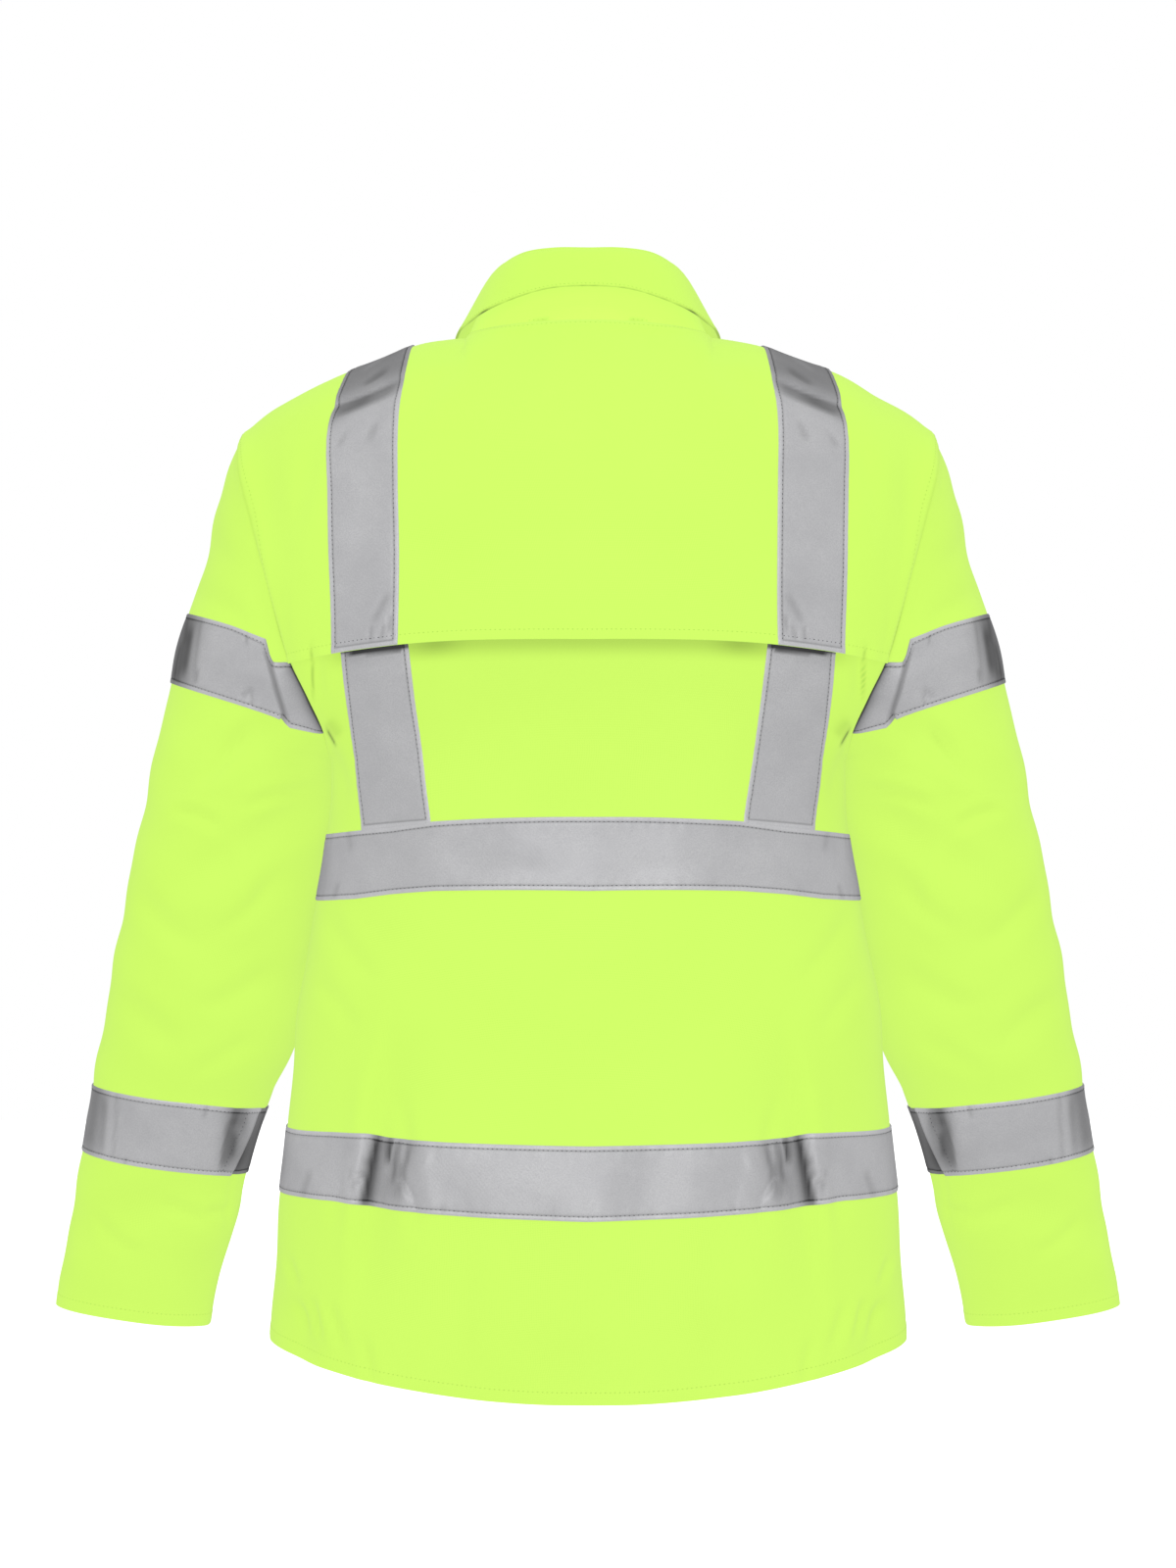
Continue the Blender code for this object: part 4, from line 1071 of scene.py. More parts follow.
# ---------------- folds that were placed one by one
@dataclass(frozen=True)
class Crease:
    """One soft trough or ridge on the back or the front, with its own length, width and depth.

    Attributes:
        start: Its first end: distance from the centre line and height, in metres.
        end: Its other end.
        half_width: Half of its width, in millimetres.
        height: Its height in millimetres. A trough is less than 0.
        bow: How far its middle is off the straight line, in millimetres.
        lip: The share of its depth that stands up again on both its sides.
        face: 1 on the back, -1 on the front and 0 all round.
        lean: Half of its width on the side to the right of its way, where that is gentler.
    """

    start: tuple[float, float]
    end: tuple[float, float]
    half_width: float
    height: float
    bow: float = 0.0
    lip: float = 0.3
    face: int = 1
    lean: float = 0.0
    # How far past its ends it runs out and over what share of its length, and where its lips stand.
    RUN_OUT = 0.22
    RUN_OUT_OVER = 0.45
    LIP_PLACE = 2.1

    def heights(self, points: Array, normals: Array) -> Array:
        """Return how far out it moves each point, in metres."""
        start, end = np.array(self.start), np.array(self.end)
        length = float(np.linalg.norm(end - start))
        way = (end - start) / length
        flat = np.stack((np.abs(points[..., 0]), points[..., 2]), axis=-1) - start
        along = flat @ way / length
        off = flat[..., 0] * way[1] - flat[..., 1] * way[0]
        off = off - self.bow * MM * 4 * along * (1 - along)
        width = np.where(off > 0, self.lean or self.half_width, self.half_width) * MM
        ends = smooth_step((along + self.RUN_OUT) / self.RUN_OUT_OVER)
        ends = ends * smooth_step((1 + self.RUN_OUT - along) / self.RUN_OUT_OVER)
        middle = np.exp(-(off / width) ** 2)
        sides = np.exp(-((np.abs(off) - self.LIP_PLACE * width) / width) ** 2)
        facing = smooth_step((normals[..., 1] * self.face - 0.02) / 0.3) if self.face else 1.0
        return self.height * MM * (middle - self.lip * sides) * ends * facing


class Ripple(NamedTuple):
    """A long, low wave of the cloth: its way across, its length and its height."""

    x: float
    y: float
    z: float
    wave_mm: float
    height_mm: float
    turn: float


@dataclass(frozen=True)
class Drape:
    """All the folds of one part of the garment."""

    creases: tuple[Crease, ...]
    ripples: tuple[Ripple, ...]

    def heights(self, grid: ClothGrid) -> Array:
        """Return how far out the folds move each point of a panel, in metres."""
        total = np.zeros(grid.points.shape[:2])
        for crease in self.creases:
            total += crease.heights(grid.points, grid.normals)
        for wave in self.ripples:
            way = np.array((wave.x, wave.y, wave.z))
            way = way / np.linalg.norm(way)
            turns = grid.points @ way / (wave.wave_mm * MM) + wave.turn
            total += wave.height_mm * MM * np.sin(2 * math.pi * turns)
        return total


# ---------------- meshes
def new_mesh(name: str, points: Array, faces: list, sharp: Optional[float] = None) -> Mesh:
    """Make a smooth mesh.

    Args:
        name: Its name.
        points: Its points in metres.
        faces: Its faces.
        sharp: The angle in degrees over which an edge is sharp, or nothing.

    Returns:
        The mesh.
    """
    mesh = bpy.data.meshes.new(name)
    mesh.from_pydata(points.tolist(), [], faces)
    mesh.shade_smooth()
    if sharp is not None:
        mesh.set_sharp_from_angle(angle=math.radians(sharp))
    mesh.update()
    return mesh


def wall_mesh(name: str, grid: ClothGrid, wall: float, sewn_edges: str = "") -> Mesh:
    """Make a closed cloth wall from its outer face.

    Args:
        name: The mesh's name.
        grid: The outer face, seen from outside.
        wall: How thick the cloth is, in metres.
        sewn_edges: The edges whose seams pull on the cloth, as letters of l, r, b and t.

    Returns:
        A mesh with the cut's own map in metres, and with each point's seam pull and painted shade.
    """
    rows, columns = grid.points.shape[:2]
    keys = point_keys(grid.points)
    _, first, inverse = np.unique(keys, axis=0, return_index=True, return_inverse=True)
    inverse = inverse.ravel()
    outer = grid.points.reshape(-1, 3)[first]
    inner = outer - grid.normals.reshape(-1, 3)[first] * wall
    count = len(outer)
    cut = np.stack((grid.lengths(1), grid.lengths(0)), axis=-1).reshape(-1, 2)
    pull = np.exp(-(grid.edge_distance(sewn_edges) / SEAM_PULL_REACH) ** 2).reshape(-1)[first]
    faces: list[tuple[int, ...]] = []
    corners: list[int] = []
    directed: dict[tuple[int, int], tuple[int, int]] = {}
    for row in range(rows - 1):
        for column in range(columns - 1):
            low = row * columns + column
            ring = (low, low + 1, low + 1 + columns, low + columns)
            kept = [spot for at, spot in enumerate(ring) if inverse[spot] != inverse[ring[at - 1]]]
            if len(kept) < 3 or len({int(inverse[spot]) for spot in kept}) < len(kept):
                continue
            face = tuple(int(inverse[spot]) for spot in kept)
            faces.append(face)
            corners += kept
            for at in range(len(kept)):
                after = (at + 1) % len(kept)
                directed[(face[at], face[after])] = (kept[at], kept[after])
    outside = list(faces)
    at = 0
    for face in outside:
        spots = corners[at:at + len(face)]
        at += len(face)
        faces.append(tuple(number + count for number in reversed(face)))
        corners += list(reversed(spots))
    for (a, b), (spot_a, spot_b) in directed.items():
        if (b, a) in directed:
            continue
        faces.append((b, a, a + count, b + count))
        corners += [spot_b, spot_a, spot_a, spot_b]
    mesh = new_mesh(name, np.concatenate((outer, inner)), faces, WALL_SHARP_DEGREES)
    layer = mesh.uv_layers.new(name=CUT_MAP)
    layer.data.foreach_set("uv", cut[corners].ravel())
    shade = np.zeros(rows * columns) if grid.shade is None else grid.shade.ravel()
    shade = np.clip(shade, LEAST_SHADE, MOST_SHADE)
    for attribute, values in ((SEAM_PULL, pull), (PAINTED_LIGHT_AND_SHADE, shade[first])):
        layer = mesh.attributes.new(attribute, "FLOAT", "POINT")
        layer.data.foreach_set("value", np.concatenate((values, values)))
    return mesh


class Stitching:
    """Lines of stitches for one piece of sewing thread. Each stitch is a small ridge."""

    LENGTH_SHARE = 0.72
    HALF_WIDTH = 0.34 * MM
    RISE = 0.3 * MM
    SINK = -0.3 * MM
    LIFT = 0.05 * MM
    # Its corners are its back and front ends, its two sides, its top and its foot.
    FACES = np.array((
        (0, 3, 4), (3, 1, 4), (1, 2, 4), (2, 0, 4), (3, 0, 5), (1, 3, 5), (2, 1, 5), (0, 2, 5),
    ))
    CORNERS = 6

    def __init__(self, lines: Sequence[ClothLine], pitch: float) -> None:
        """Start with stitches along some lines, so many metres from one to the next."""
        self.points: list[Array] = []
        self.faces: list[Array] = []
        self.count = 0
        self.add(lines, pitch)

    def add(self, lines: Sequence[ClothLine], pitch: float) -> None:
        """Sew along lines.

        Args:
            lines: Where the stitches lie.
            pitch: From the start of one stitch to the next, in metres.
        """
        for line in lines:
            whole = line.reach()[-1]
            number = int(whole / pitch)
            if number < 1:
                continue
            middles = (np.arange(number) + 0.5) * whole / number
            half = self.LENGTH_SHARE * whole / number / 2
            ahead, behind = line.at(middles + half).points, line.at(middles - half).points
            out = line.at(middles).normals
            centre = (ahead + behind) / 2 + out * self.LIFT
            way = (ahead - behind) / 2
            across = unit(np.cross(way, out)) * self.HALF_WIDTH
            low = out * self.SINK
            corners = (
                centre - way + low, centre + way + low, centre - across, centre + across,
                centre + out * self.RISE, centre + low,
            )
            starts = self.count + self.CORNERS * np.arange(number)
            self.points.append(np.stack(corners, axis=1).reshape(-1, 3))
            self.faces.append((starts[:, None, None] + self.FACES[None]).reshape(-1, 3))
            self.count += self.CORNERS * number

    def mesh(self, name: str) -> Mesh:
        """Return all the stitches as one mesh."""
        return new_mesh(name, np.concatenate(self.points), np.concatenate(self.faces).tolist())


# ---------------- the pattern
def whole_back(half: BodyHalf, edges: Sequence[TapeEdge], first_row: int = 0) -> Array:
    """Return the coarse points of the back, from the left side to the right one."""
    rows = []
    for row in range(first_row, len(half.sections)):
        rows.append(both_halves([half.point(row, x) for x in half.column_places(row, edges, 0.0)]))
    return np.array(rows)


def left_front(half: BodyHalf) -> Array:
    """Return the coarse points of the left front, from the zip to the side."""
    return np.array([
        [half.point(row, x) for x in half.column_places(row, FRONT_TAPE_EDGES, ZIP_EDGE_X)]
        for row in range(len(half.sections))
    ])


def left_sleeve() -> Array:
    """Return the coarse points of the left sleeve, from the front of its seam to the back of it."""
    return np.array([
        [sleeve_point(row, row.span * step / ARM_STEPS) for step in range(-ARM_STEPS, ARM_STEPS + 1)]
        for row in SLEEVE_ROWS
    ])


# The neck's corners soften from so many rows below the top, over so many rows.
NECK_CORNER_START = 2.6
NECK_CORNER_ROWS = 1.6


def refine(
    coarse: Array,
    rows: Array,
    columns: Array,
    neck: Sequence[int] = (),
    closed_below: Optional[float] = None,
) -> Array:
    """Run smooth curves through a coarse grid.

    Args:
        coarse: The cut's own points.
        rows: The fine row places.
        columns: The fine column places.
        neck: The columns where the top row has a corner, at the ends of the neck hole.
        closed_below: The row place up to which each row is a closed ring.

    Returns:
        The fine points.
    """
    lines = spline(coarse, rows).swapaxes(0, 1)
    fine = spline(lines, columns).swapaxes(0, 1)
    if neck:
        corners = broken_spline(lines, columns, neck).swapaxes(0, 1)
        share = smooth_step((rows - (len(coarse) - NECK_CORNER_START)) / NECK_CORNER_ROWS)[:, None, None]
        fine = mix(fine, corners, share)
    if closed_below is not None:
        rings = spline(lines, columns, closed=True).swapaxes(0, 1)
        share = smooth_step(rows - closed_below)[:, None, None]
        fine = mix(rings, fine, share)
    return fine


def hump(distance: Array, half_width: float) -> Array:
    """Return 1 in the middle of a soft hump and 0 from one and a half half widths on."""
    share = np.minimum(np.abs(distance) / (1.5 * half_width), 1.0)
    return 0.5 * (1 + np.cos(math.pi * share))


class SleeveFold(NamedTuple):
    """A fold across the sleeve at a height, centred on an angle round it from the outside."""

    z: float
    angle: float
    half_angle: float
    half_height: float
    slant: float
    depth: float


SLEEVE_FOLDS = (
    SleeveFold(-0.3, 95, 60, 0.018, 0.0006, -0.0045),
    SleeveFold(-0.375, 110, 55, 0.02, 0.0007, -0.006),
    SleeveFold(-0.455, 100, 60, 0.022, -0.0004, -0.004),
    SleeveFold(-0.5, -95, 60, 0.024, 0.0005, -0.006),
    SleeveFold(-0.4, -105, 55, 0.022, -0.0006, -0.005),
    SleeveFold(-0.655, 70, 70, 0.02, 0.0004, -0.0035),
)

BODY_DRAPE = Drape(
    creases=(
        Crease((0.143, -0.52), (0.164, -0.69), 5.0, -8.0, bow=-2.0, lip=0.12, lean=22.0),
        Crease((0.163, -0.54), (0.176, -0.67), 7.0, 2.0, lip=0.0),
        Crease((0.135, -0.564), (0.123, -0.645), 5.5, -2.4, bow=2.0),
        Crease((0.172, -0.59), (0.178, -0.65), 7.0, -2.0, bow=-2.0),
        Crease((0.045, -0.49), (0.052, -0.7), 26.0, -2.8, lip=0.0),
        Crease((0.006, -0.61), (0.013, -0.75), 17.0, 1.8, lip=0.0),
        Crease((0.086, -0.65), (0.093, -0.76), 12.0, -2.2),
        Crease((0.2149, -0.7096), (0.2079, -0.7278), 3.2, -2.2),
        Crease((0.2009, -0.706), (0.1939, -0.73), 3.4, -2.6),
        Crease((0.1855, -0.7068), (0.1757, -0.735), 3.8, -2.8),
        Crease((0.1589, -0.7306), (0.1547, -0.756), 3.8, -2.4),
        Crease((0.2205, -0.6788), (0.2135, -0.6956), 3.2, -2.2),
        Crease((0.213, -0.71), (0.206, -0.748), 13.0, -5.5, lip=0.1),
        Crease((0.1946, -0.2336), (0.194, -0.2686), 4.5, -2.0),
        Crease((0.203, -0.29), (0.178, -0.342), 6.0, -2.0, bow=3.0),
        Crease((0.19, -0.43), (0.156, -0.47), 7.0, -1.9, bow=-3.0),
        Crease((0.198, -0.476), (0.17, -0.508), 6.0, -1.6, bow=2.0),
        Crease((0.088, -0.39), (0.02, -0.396), 9.0, -0.9),
        Crease((0.1365, -0.0436), (0.188, -0.0614), 4.5, -1.6, bow=2.0),
        Crease((0.098, -0.035), (0.128, -0.083), 8.0, -1.5, bow=-3.0),
        Crease((0.196, -0.09), (0.208, -0.15), 7.0, -1.4),
        Crease((0.15, -0.52), (0.162, -0.69), 9.0, -5.0, face=-1),
        Crease((0.11, -0.42), (0.07, -0.46), 8.0, -1.8, face=-1),
        Crease((0.06, -0.56), (0.07, -0.71), 16.0, -2.2, face=-1),
        Crease((0.19, -0.19), (0.17, -0.26), 7.0, -2.0, face=-1),
        Crease((0.206, -0.705), (0.196, -0.73), 4.0, -2.4, face=-1),
        Crease((0.178, -0.705), (0.17, -0.732), 4.0, -2.2, face=-1),
    ),
    ripples=(
        Ripple(1.0, 0.2, 0.1, 97, 0.55, 0.13),
        Ripple(1.0, -0.3, 0.25, 61, 0.4, 0.41),
        Ripple(0.3, 0.1, 1.0, 118, 0.5, 0.77),
        Ripple(-0.5, 0.2, 1.0, 67, 0.3, 0.29),
    ),
)
SLEEVE_DRAPE = Drape(
    creases=(
        Crease((0.249, -0.2925), (0.281, -0.3295), 5.0, -3.2, bow=2.0),
        Crease((0.206, -0.335), (0.2475, -0.347), 4.5, -2.8, bow=-1.5),
        Crease((0.302, -0.351), (0.269, -0.3636), 4.5, -2.6, bow=3.0),
        Crease((0.256, -0.3757), (0.249, -0.4205), 7.0, 2.4, lip=0.0),
        Crease((0.23, -0.402), (0.266, -0.438), 6.0, -2.6, bow=2.0),
        Crease((0.33, -0.415), (0.29, -0.45), 7.0, -2.0, bow=-3.0),
        Crease((0.234, -0.47), (0.28, -0.495), 7.0, -2.4, bow=3.0),
        Crease((0.345, -0.49), (0.305, -0.525), 8.0, -2.0, bow=2.0),
        Crease((0.25, -0.52), (0.29, -0.545), 6.0, -2.0),
        Crease((0.3176, -0.647), (0.288, -0.6595), 5.0, -2.8, bow=1.5),
        Crease((0.2839, -0.6522), (0.2714, -0.6551), 3.5, -2.4),
        Crease((0.37, -0.662), (0.338, -0.682), 5.0, -2.2, bow=-2.0),
        Crease((0.2656, -0.6214), (0.275, -0.6713), 1.6, -0.9, lip=0.0),
        Crease((0.29, -0.125), (0.262, -0.17), 8.0, -2.0, bow=-3.0),
        Crease((0.295, -0.19), (0.25, -0.215), 7.0, -1.8, bow=3.0),
        Crease((0.24, -0.36), (0.29, -0.385), 7.0, -3.0, face=-1),
        Crease((0.25, -0.43), (0.31, -0.46), 8.0, -3.0, bow=3.0, face=-1),
        Crease((0.26, -0.5), (0.32, -0.515), 7.0, -2.5, face=-1),
        Crease((0.3, -0.27), (0.26, -0.31), 6.0, -2.5, face=-1),
        Crease((0.33, -0.65), (0.295, -0.67), 6.0, -2.4, face=-1),
    ),
    ripples=(
        Ripple(0.25, 0.3, 1.0, 71, 0.75, 0.21),
        Ripple(-0.3, 0.5, 1.0, 43, 0.4, 0.63),
        Ripple(1.0, 1.0, 0.2, 59, 0.45, 0.36),
    ),
)


SEAM_GROOVE_MM = -0.9
SEAM_GROOVE_WIDTH = 1.7 * MM
ALLOWANCE_PLACE = 7.0 * MM
ALLOWANCE_WIDTH = 4.0 * MM
HEM_DOUBLE_MM = 0.3
HEM_FADE = 5 * MM
HEM_GROOVE_MM = -0.2
HEM_GROOVE_WIDTH = 1.8 * MM


def seam_relief(distance: Array, ridge: float = 0.0) -> Array:
    """Return a sewn seam's height: a narrow groove, and the ridge of its allowance beside it.

    Args:
        distance: Metres from the seam.
        ridge: The ridge's height in millimetres.
    """
    groove = SEAM_GROOVE_MM * np.exp(-(distance / SEAM_GROOVE_WIDTH) ** 2)
    allowance = ridge * np.exp(-((distance - ALLOWANCE_PLACE) / ALLOWANCE_WIDTH) ** 2)
    return (groove + allowance) * MM


def hem_relief(distance: Array, depth: float) -> Array:
    """Return a turned hem's height: double cloth up to its stitches, which lie in a groove."""
    double = HEM_DOUBLE_MM * smooth_step((depth + HEM_FADE / 2 - distance) / HEM_FADE)
    groove = HEM_GROOVE_MM * np.exp(-((distance - depth) / HEM_GROOVE_WIDTH) ** 2)
    return (double + groove) * MM


# Painted shade: the shares of the light that the cloth's nips beside the armhole hold off.
ARMHOLE_NIP_SHADOWS = (
    Crease((0.198, -0.2345), (0.1987, -0.268), 0.8, -0.3, lip=0.0),
    Crease((0.1903, -0.2925), (0.1848, -0.3028), 1.1, -0.6, lip=0.0),
    Crease((0.189, -0.286), (0.181, -0.296), 5.0, -0.14, lip=0.0),
)


class Pattern:
    """Every panel's fine grid for the left side and the back, sewn together and with its folds."""

    BODY_HEM = 9 * MM
    CUFF_HEM = 9 * MM
    CAPE_HEM = 7 * MM
    # The sleeve's slack: how far it stands out, its lowest and highest place, and its share of a turn.
    INNER_FULLNESS = 6.0 * MM
    FULL_FROM = -0.565
    FULL_TO = -0.3
    FULL_TURN = 0.24
    # Folds fade out so far from an armhole seam, a shoulder or neck seam, and the sleeve's own seam.
    FADE_ARMHOLE = 16 * MM
    FADE_TOP = 18 * MM
    FADE_SLEEVE = 14 * MM
    # The ridge that a seam's allowance makes in the cloth beside it, in millimetres.
    SIDE_RIDGE = 0.5
    ARMHOLE_RIDGE = 0.9
    CAPE_RIDGE = 1.1
    # The painted shade of an armhole seam above and below the cape's hem, and how wide its dark line is.
    SEAM_SHADE = 0.1
    LOW_SEAM_SHADE = 0.34
    LOW_SEAM_FROM = -0.175
    SEAM_SHADE_WIDTH = 1.3 * MM
    # The painted shadow under the cape's hem: all along it, and more between the tape and the middle.
    CAPE_SHADE = 0.24
    CAPE_SHADE_MORE = 0.18
    CAPE_SHADE_REACH = 15 * MM
    CAPE_SHADE_X = 0.108
    CAPE_SHADE_END = 0.196

    def __init__(self) -> None:
        """Cut, sew and drape the panels."""
        back_half, front_half = BodyHalf(True), BodyHalf(False)
        coarse_back = whole_back(back_half, BACK_TAPE_EDGES)
        coarse_front = left_front(front_half)
        coarse_sleeve = left_sleeve()
        row_counts = fine_counts(coarse_back)
        arm_counts = fine_counts(coarse_sleeve)[:ARMPIT_ROW] + row_counts[len(BODY_ROWS):]
        back_counts = fine_counts(coarse_back[:, SIDE:].swapaxes(0, 1))
        front_counts = fine_counts(coarse_front.swapaxes(0, 1))
        half_counts = [max(pair) for pair in zip(back_counts, front_counts)]
        rows = fine_places(row_counts)
        arm_rows = fine_places(arm_counts)
        back_columns = fine_places(half_counts[::-1] + half_counts)
        front_columns = fine_places(half_counts)
        arm_columns = fine_places(fine_counts(coarse_sleeve[:ARMPIT_ROW].swapaxes(0, 1)))
        neck_ends = (SIDE - NECK_STEPS, SIDE + NECK_STEPS)

        back = refine(coarse_back, rows, back_columns, neck_ends)
        front = refine(coarse_front, rows, front_columns, (NECK_STEPS,))
        sleeve = refine(coarse_sleeve, arm_rows, arm_columns, closed_below=ARMPIT_ROW)
        self.back = ClothGrid.from_points(back, rows, back_columns)
        self.front = ClothGrid.from_points(front, rows, front_columns)
        self.sleeve = ClothGrid.from_points(sleeve, arm_rows, arm_columns)
        self._snap()
        self._join()
        self._drape()
        self._join()
        self.cape = self._cape(back_half, row_counts, half_counts, neck_ends)
        self._shade()

    def _snap(self) -> None:
        """Give every pair of edges that are sewn to each other the same points."""
        back, front, sleeve = self.back.points, self.front.points, self.sleeve.points
        rows, arm_rows = self.back.rows, self.sleeve.rows
        low = rows <= len(BODY_ROWS) + PLACE_SLACK
        front[low, -1] = back[low, 0]
        shoulder_front = self.front.columns >= NECK_STEPS - PLACE_SLACK
        shoulder_back = self.back.columns <= SIDE - NECK_STEPS + PLACE_SLACK
        front[-1, shoulder_front] = back[-1, shoulder_back][::-1]
        arm = arm_rows >= ARMPIT_ROW - PLACE_SLACK
        body = rows >= len(BODY_ROWS) - PLACE_SLACK
        sleeve[arm, -1] = back[body, 0]
        sleeve[arm, 0] = front[body, -1]
        ring = arm_rows <= ARMPIT_ROW + PLACE_SLACK
        sleeve[ring, 0] = sleeve[ring, -1]

    def _join(self) -> None:
        """Give sewn edges one way out. The right side's panels are there for the back's own edge."""
        join_normals([
            self.back, self.front, self.front.mirrored(), self.sleeve, self.sleeve.mirrored(),
        ])

    def _drape(self) -> None:
        """Move the panels by their folds, seams and hems. Nothing moves on an armhole or shoulder seam."""
        for grid, edges in ((self.back, "lr"), (self.front, "r")):
            side = grid.edge_distance(edges)
            on_arm = smooth_step((grid.rows - len(BODY_ROWS) + 1.2) / 1.2)[:, None]
            held = mix(1.0, smooth_step(side / self.FADE_ARMHOLE), on_arm)
            held = held * smooth_step(grid.edge_distance("t") / self.FADE_TOP)
            heights = BODY_DRAPE.heights(grid) * held
            heights += seam_relief(side, self.SIDE_RIDGE) * mix(1.0, 0.0, on_arm)
            heights += (seam_relief(side, self.ARMHOLE_RIDGE) - seam_relief(side)) * on_arm
            heights += hem_relief(grid.edge_distance("b"), self.BODY_HEM)
            grid.points = grid.points + grid.normals * heights[..., None]
        grid = self.sleeve
        held = smooth_step(grid.edge_distance("lr") / self.FADE_SLEEVE)
        heights = (SLEEVE_DRAPE.heights(grid) + self._sleeve_folds()) * held + self._inner_fullness()
        heights += hem_relief(grid.edge_distance("b"), self.CUFF_HEM)
        grid.points = grid.points + grid.normals * heights[..., None]

    def _inner_fullness(self) -> Array:
        """Return how far the sleeve's slack fills out towards the body below the armpit."""
        grid = self.sleeve
        turned = (1 - np.abs(grid.columns / ARM_STEPS - 1))[None, :]
        height = grid.points[..., 2]
        between = smooth_step((height - self.FULL_FROM) / 0.05)
        between = between * smooth_step((self.FULL_TO - height) / 0.035)
        return self.INNER_FULLNESS * between * np.exp(-(turned / self.FULL_TURN) ** 2)

    def _sleeve_folds(self) -> Array:
        """Return how far out the sleeve's largest folds move each point."""
        grid = self.sleeve
        spans = np.interp(grid.rows, range(len(SLEEVE_ROWS)), [row.span for row in SLEEVE_ROWS])
        angles = spans[:, None] * (grid.columns[None, :] / ARM_STEPS - 1)
        total = np.zeros(grid.points.shape[:2])
        for fold in SLEEVE_FOLDS:
            off = angles - fold.angle
            rise = grid.points[..., 2] - fold.z - fold.slant * off
            total += fold.depth * hump(off, fold.half_angle) * hump(rise, fold.half_height)
        return total

    def _cape(
        self, half: BodyHalf, row_counts: list[int], half_counts: list[int], neck_ends: tuple[int, int]
    ) -> ClothGrid:
        """Return the cape: sewn in at the armholes, shoulders and neck, and standing off at its hem."""
        first = body_row("cape_hem")
        coarse = whole_back(half, CAPE_TAPE_EDGES, first)
        rows = fine_places(row_counts[first:])
        columns = fine_places(half_counts[::-1] + half_counts)
        points = refine(coarse, rows, columns, neck_ends)
        grid = ClothGrid.from_points(points, rows, columns)
        fall = 1 - rows / (len(coarse) - 1)
        edge = half.sections[first].edge[0]
        middle = 1 - np.minimum(np.abs(points[..., 0]) / edge, 1.0) ** 4
        sewn = grid.edge_distance("lrt")
        lift = CAPE_AIR + CLOTH_WALL * mix(0.35, 1.0, smooth_step(sewn / (12 * MM)))
        held = smooth_step(sewn / self.FADE_ARMHOLE)
        heights = lift + CAPE_STAND_OFF * fall[:, None] ** 2 * middle + BODY_DRAPE.heights(grid) * held
        heights += seam_relief(grid.edge_distance("lr"), self.CAPE_RIDGE)
        heights += seam_relief(grid.edge_distance("t"), self.SIDE_RIDGE)
        heights += hem_relief(grid.edge_distance("b"), self.CAPE_HEM)
        cape = grid.moved(heights)
        cape.find_normals()
        return cape

    def below_cape(self, points: Array) -> Array:
        """Return how far below the cape's hem each point lies, in metres."""
        hem = self.cape.points[0]
        order = np.argsort(hem[:, 0])
        return np.interp(points[..., 0], hem[order, 0], hem[order, 2]) - points[..., 2]

    def _shade(self) -> None:
        """Paint shade on each panel beside its armhole seam, and a shadow on the back under the cape's hem."""
        for grid, edges, first in (
            (self.back, "lr", len(BODY_ROWS)), (self.front, "r", len(BODY_ROWS)),
            (self.sleeve, "lr", ARMPIT_ROW), (self.cape, "lr", -1),
        ):
            on_arm = smooth_step(grid.rows - first + 0.6)[:, None]
            low = smooth_step((self.LOW_SEAM_FROM - grid.points[..., 2]) / 0.045)
            line = np.exp(-(grid.edge_distance(edges) / self.SEAM_SHADE_WIDTH) ** 2)
            grid.shade = mix(self.SEAM_SHADE, self.LOW_SEAM_SHADE, low) * line * on_arm
        for grid in (self.back, self.cape, self.sleeve):
            # Painted shade of the nips beside the armhole.
            nip_shade = sum(mark.heights(grid.points, grid.normals) for mark in ARMHOLE_NIP_SHADOWS)
            grid.shade = grid.shade - nip_shade / MM
        # A painted shadow on the back under the cape's hem.
        points = self.back.points
        across = np.abs(points[..., 0])
        inside_tape = np.exp(-((across - self.CAPE_SHADE_X) / 0.016) ** 2)
        strength = self.CAPE_SHADE + self.CAPE_SHADE_MORE * inside_tape
        strength = strength * smooth_step((self.CAPE_SHADE_END - across) / 0.03)
        under = 1 - smooth_step(self.below_cape(points) / self.CAPE_SHADE_REACH)
        self.back.shade = np.maximum(self.back.shade, strength * under)


# ---------------- pieces
class Cut(NamedTuple):
    """A sheet's flat size before it was sewn, in metres and square metres."""

    width: float
    length: float
    area: Optional[float] = None


BACK_TAPE_COLUMNS = (
    ("left", (float(SIDE - TAPE_OUT), float(SIDE - TAPE_IN))),
    ("right", (float(SIDE + TAPE_IN), float(SIDE + TAPE_OUT))),
)


def add_piece(mesh: Mesh, finish: Finish) -> bpy.types.Object:
    """Put a mesh in the scene as one piece of the jacket.

    Args:
        mesh: Its mesh, in the part's own frame. The piece has its name.
        finish: What it is made of.

    Returns:
        The new object, which rides on the jacket.
    """
    mesh.materials.append(material_of(finish))
    piece = bpy.data.objects.new(mesh.name, mesh)
    bpy.context.scene.collection.objects.link(piece)
    # The cloth glows, and its pieces would light each other up and tint the tape.
    piece.visible_diffuse = False
    piece.visible_glossy = False
    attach(piece, JACKET_BODY)
    return piece


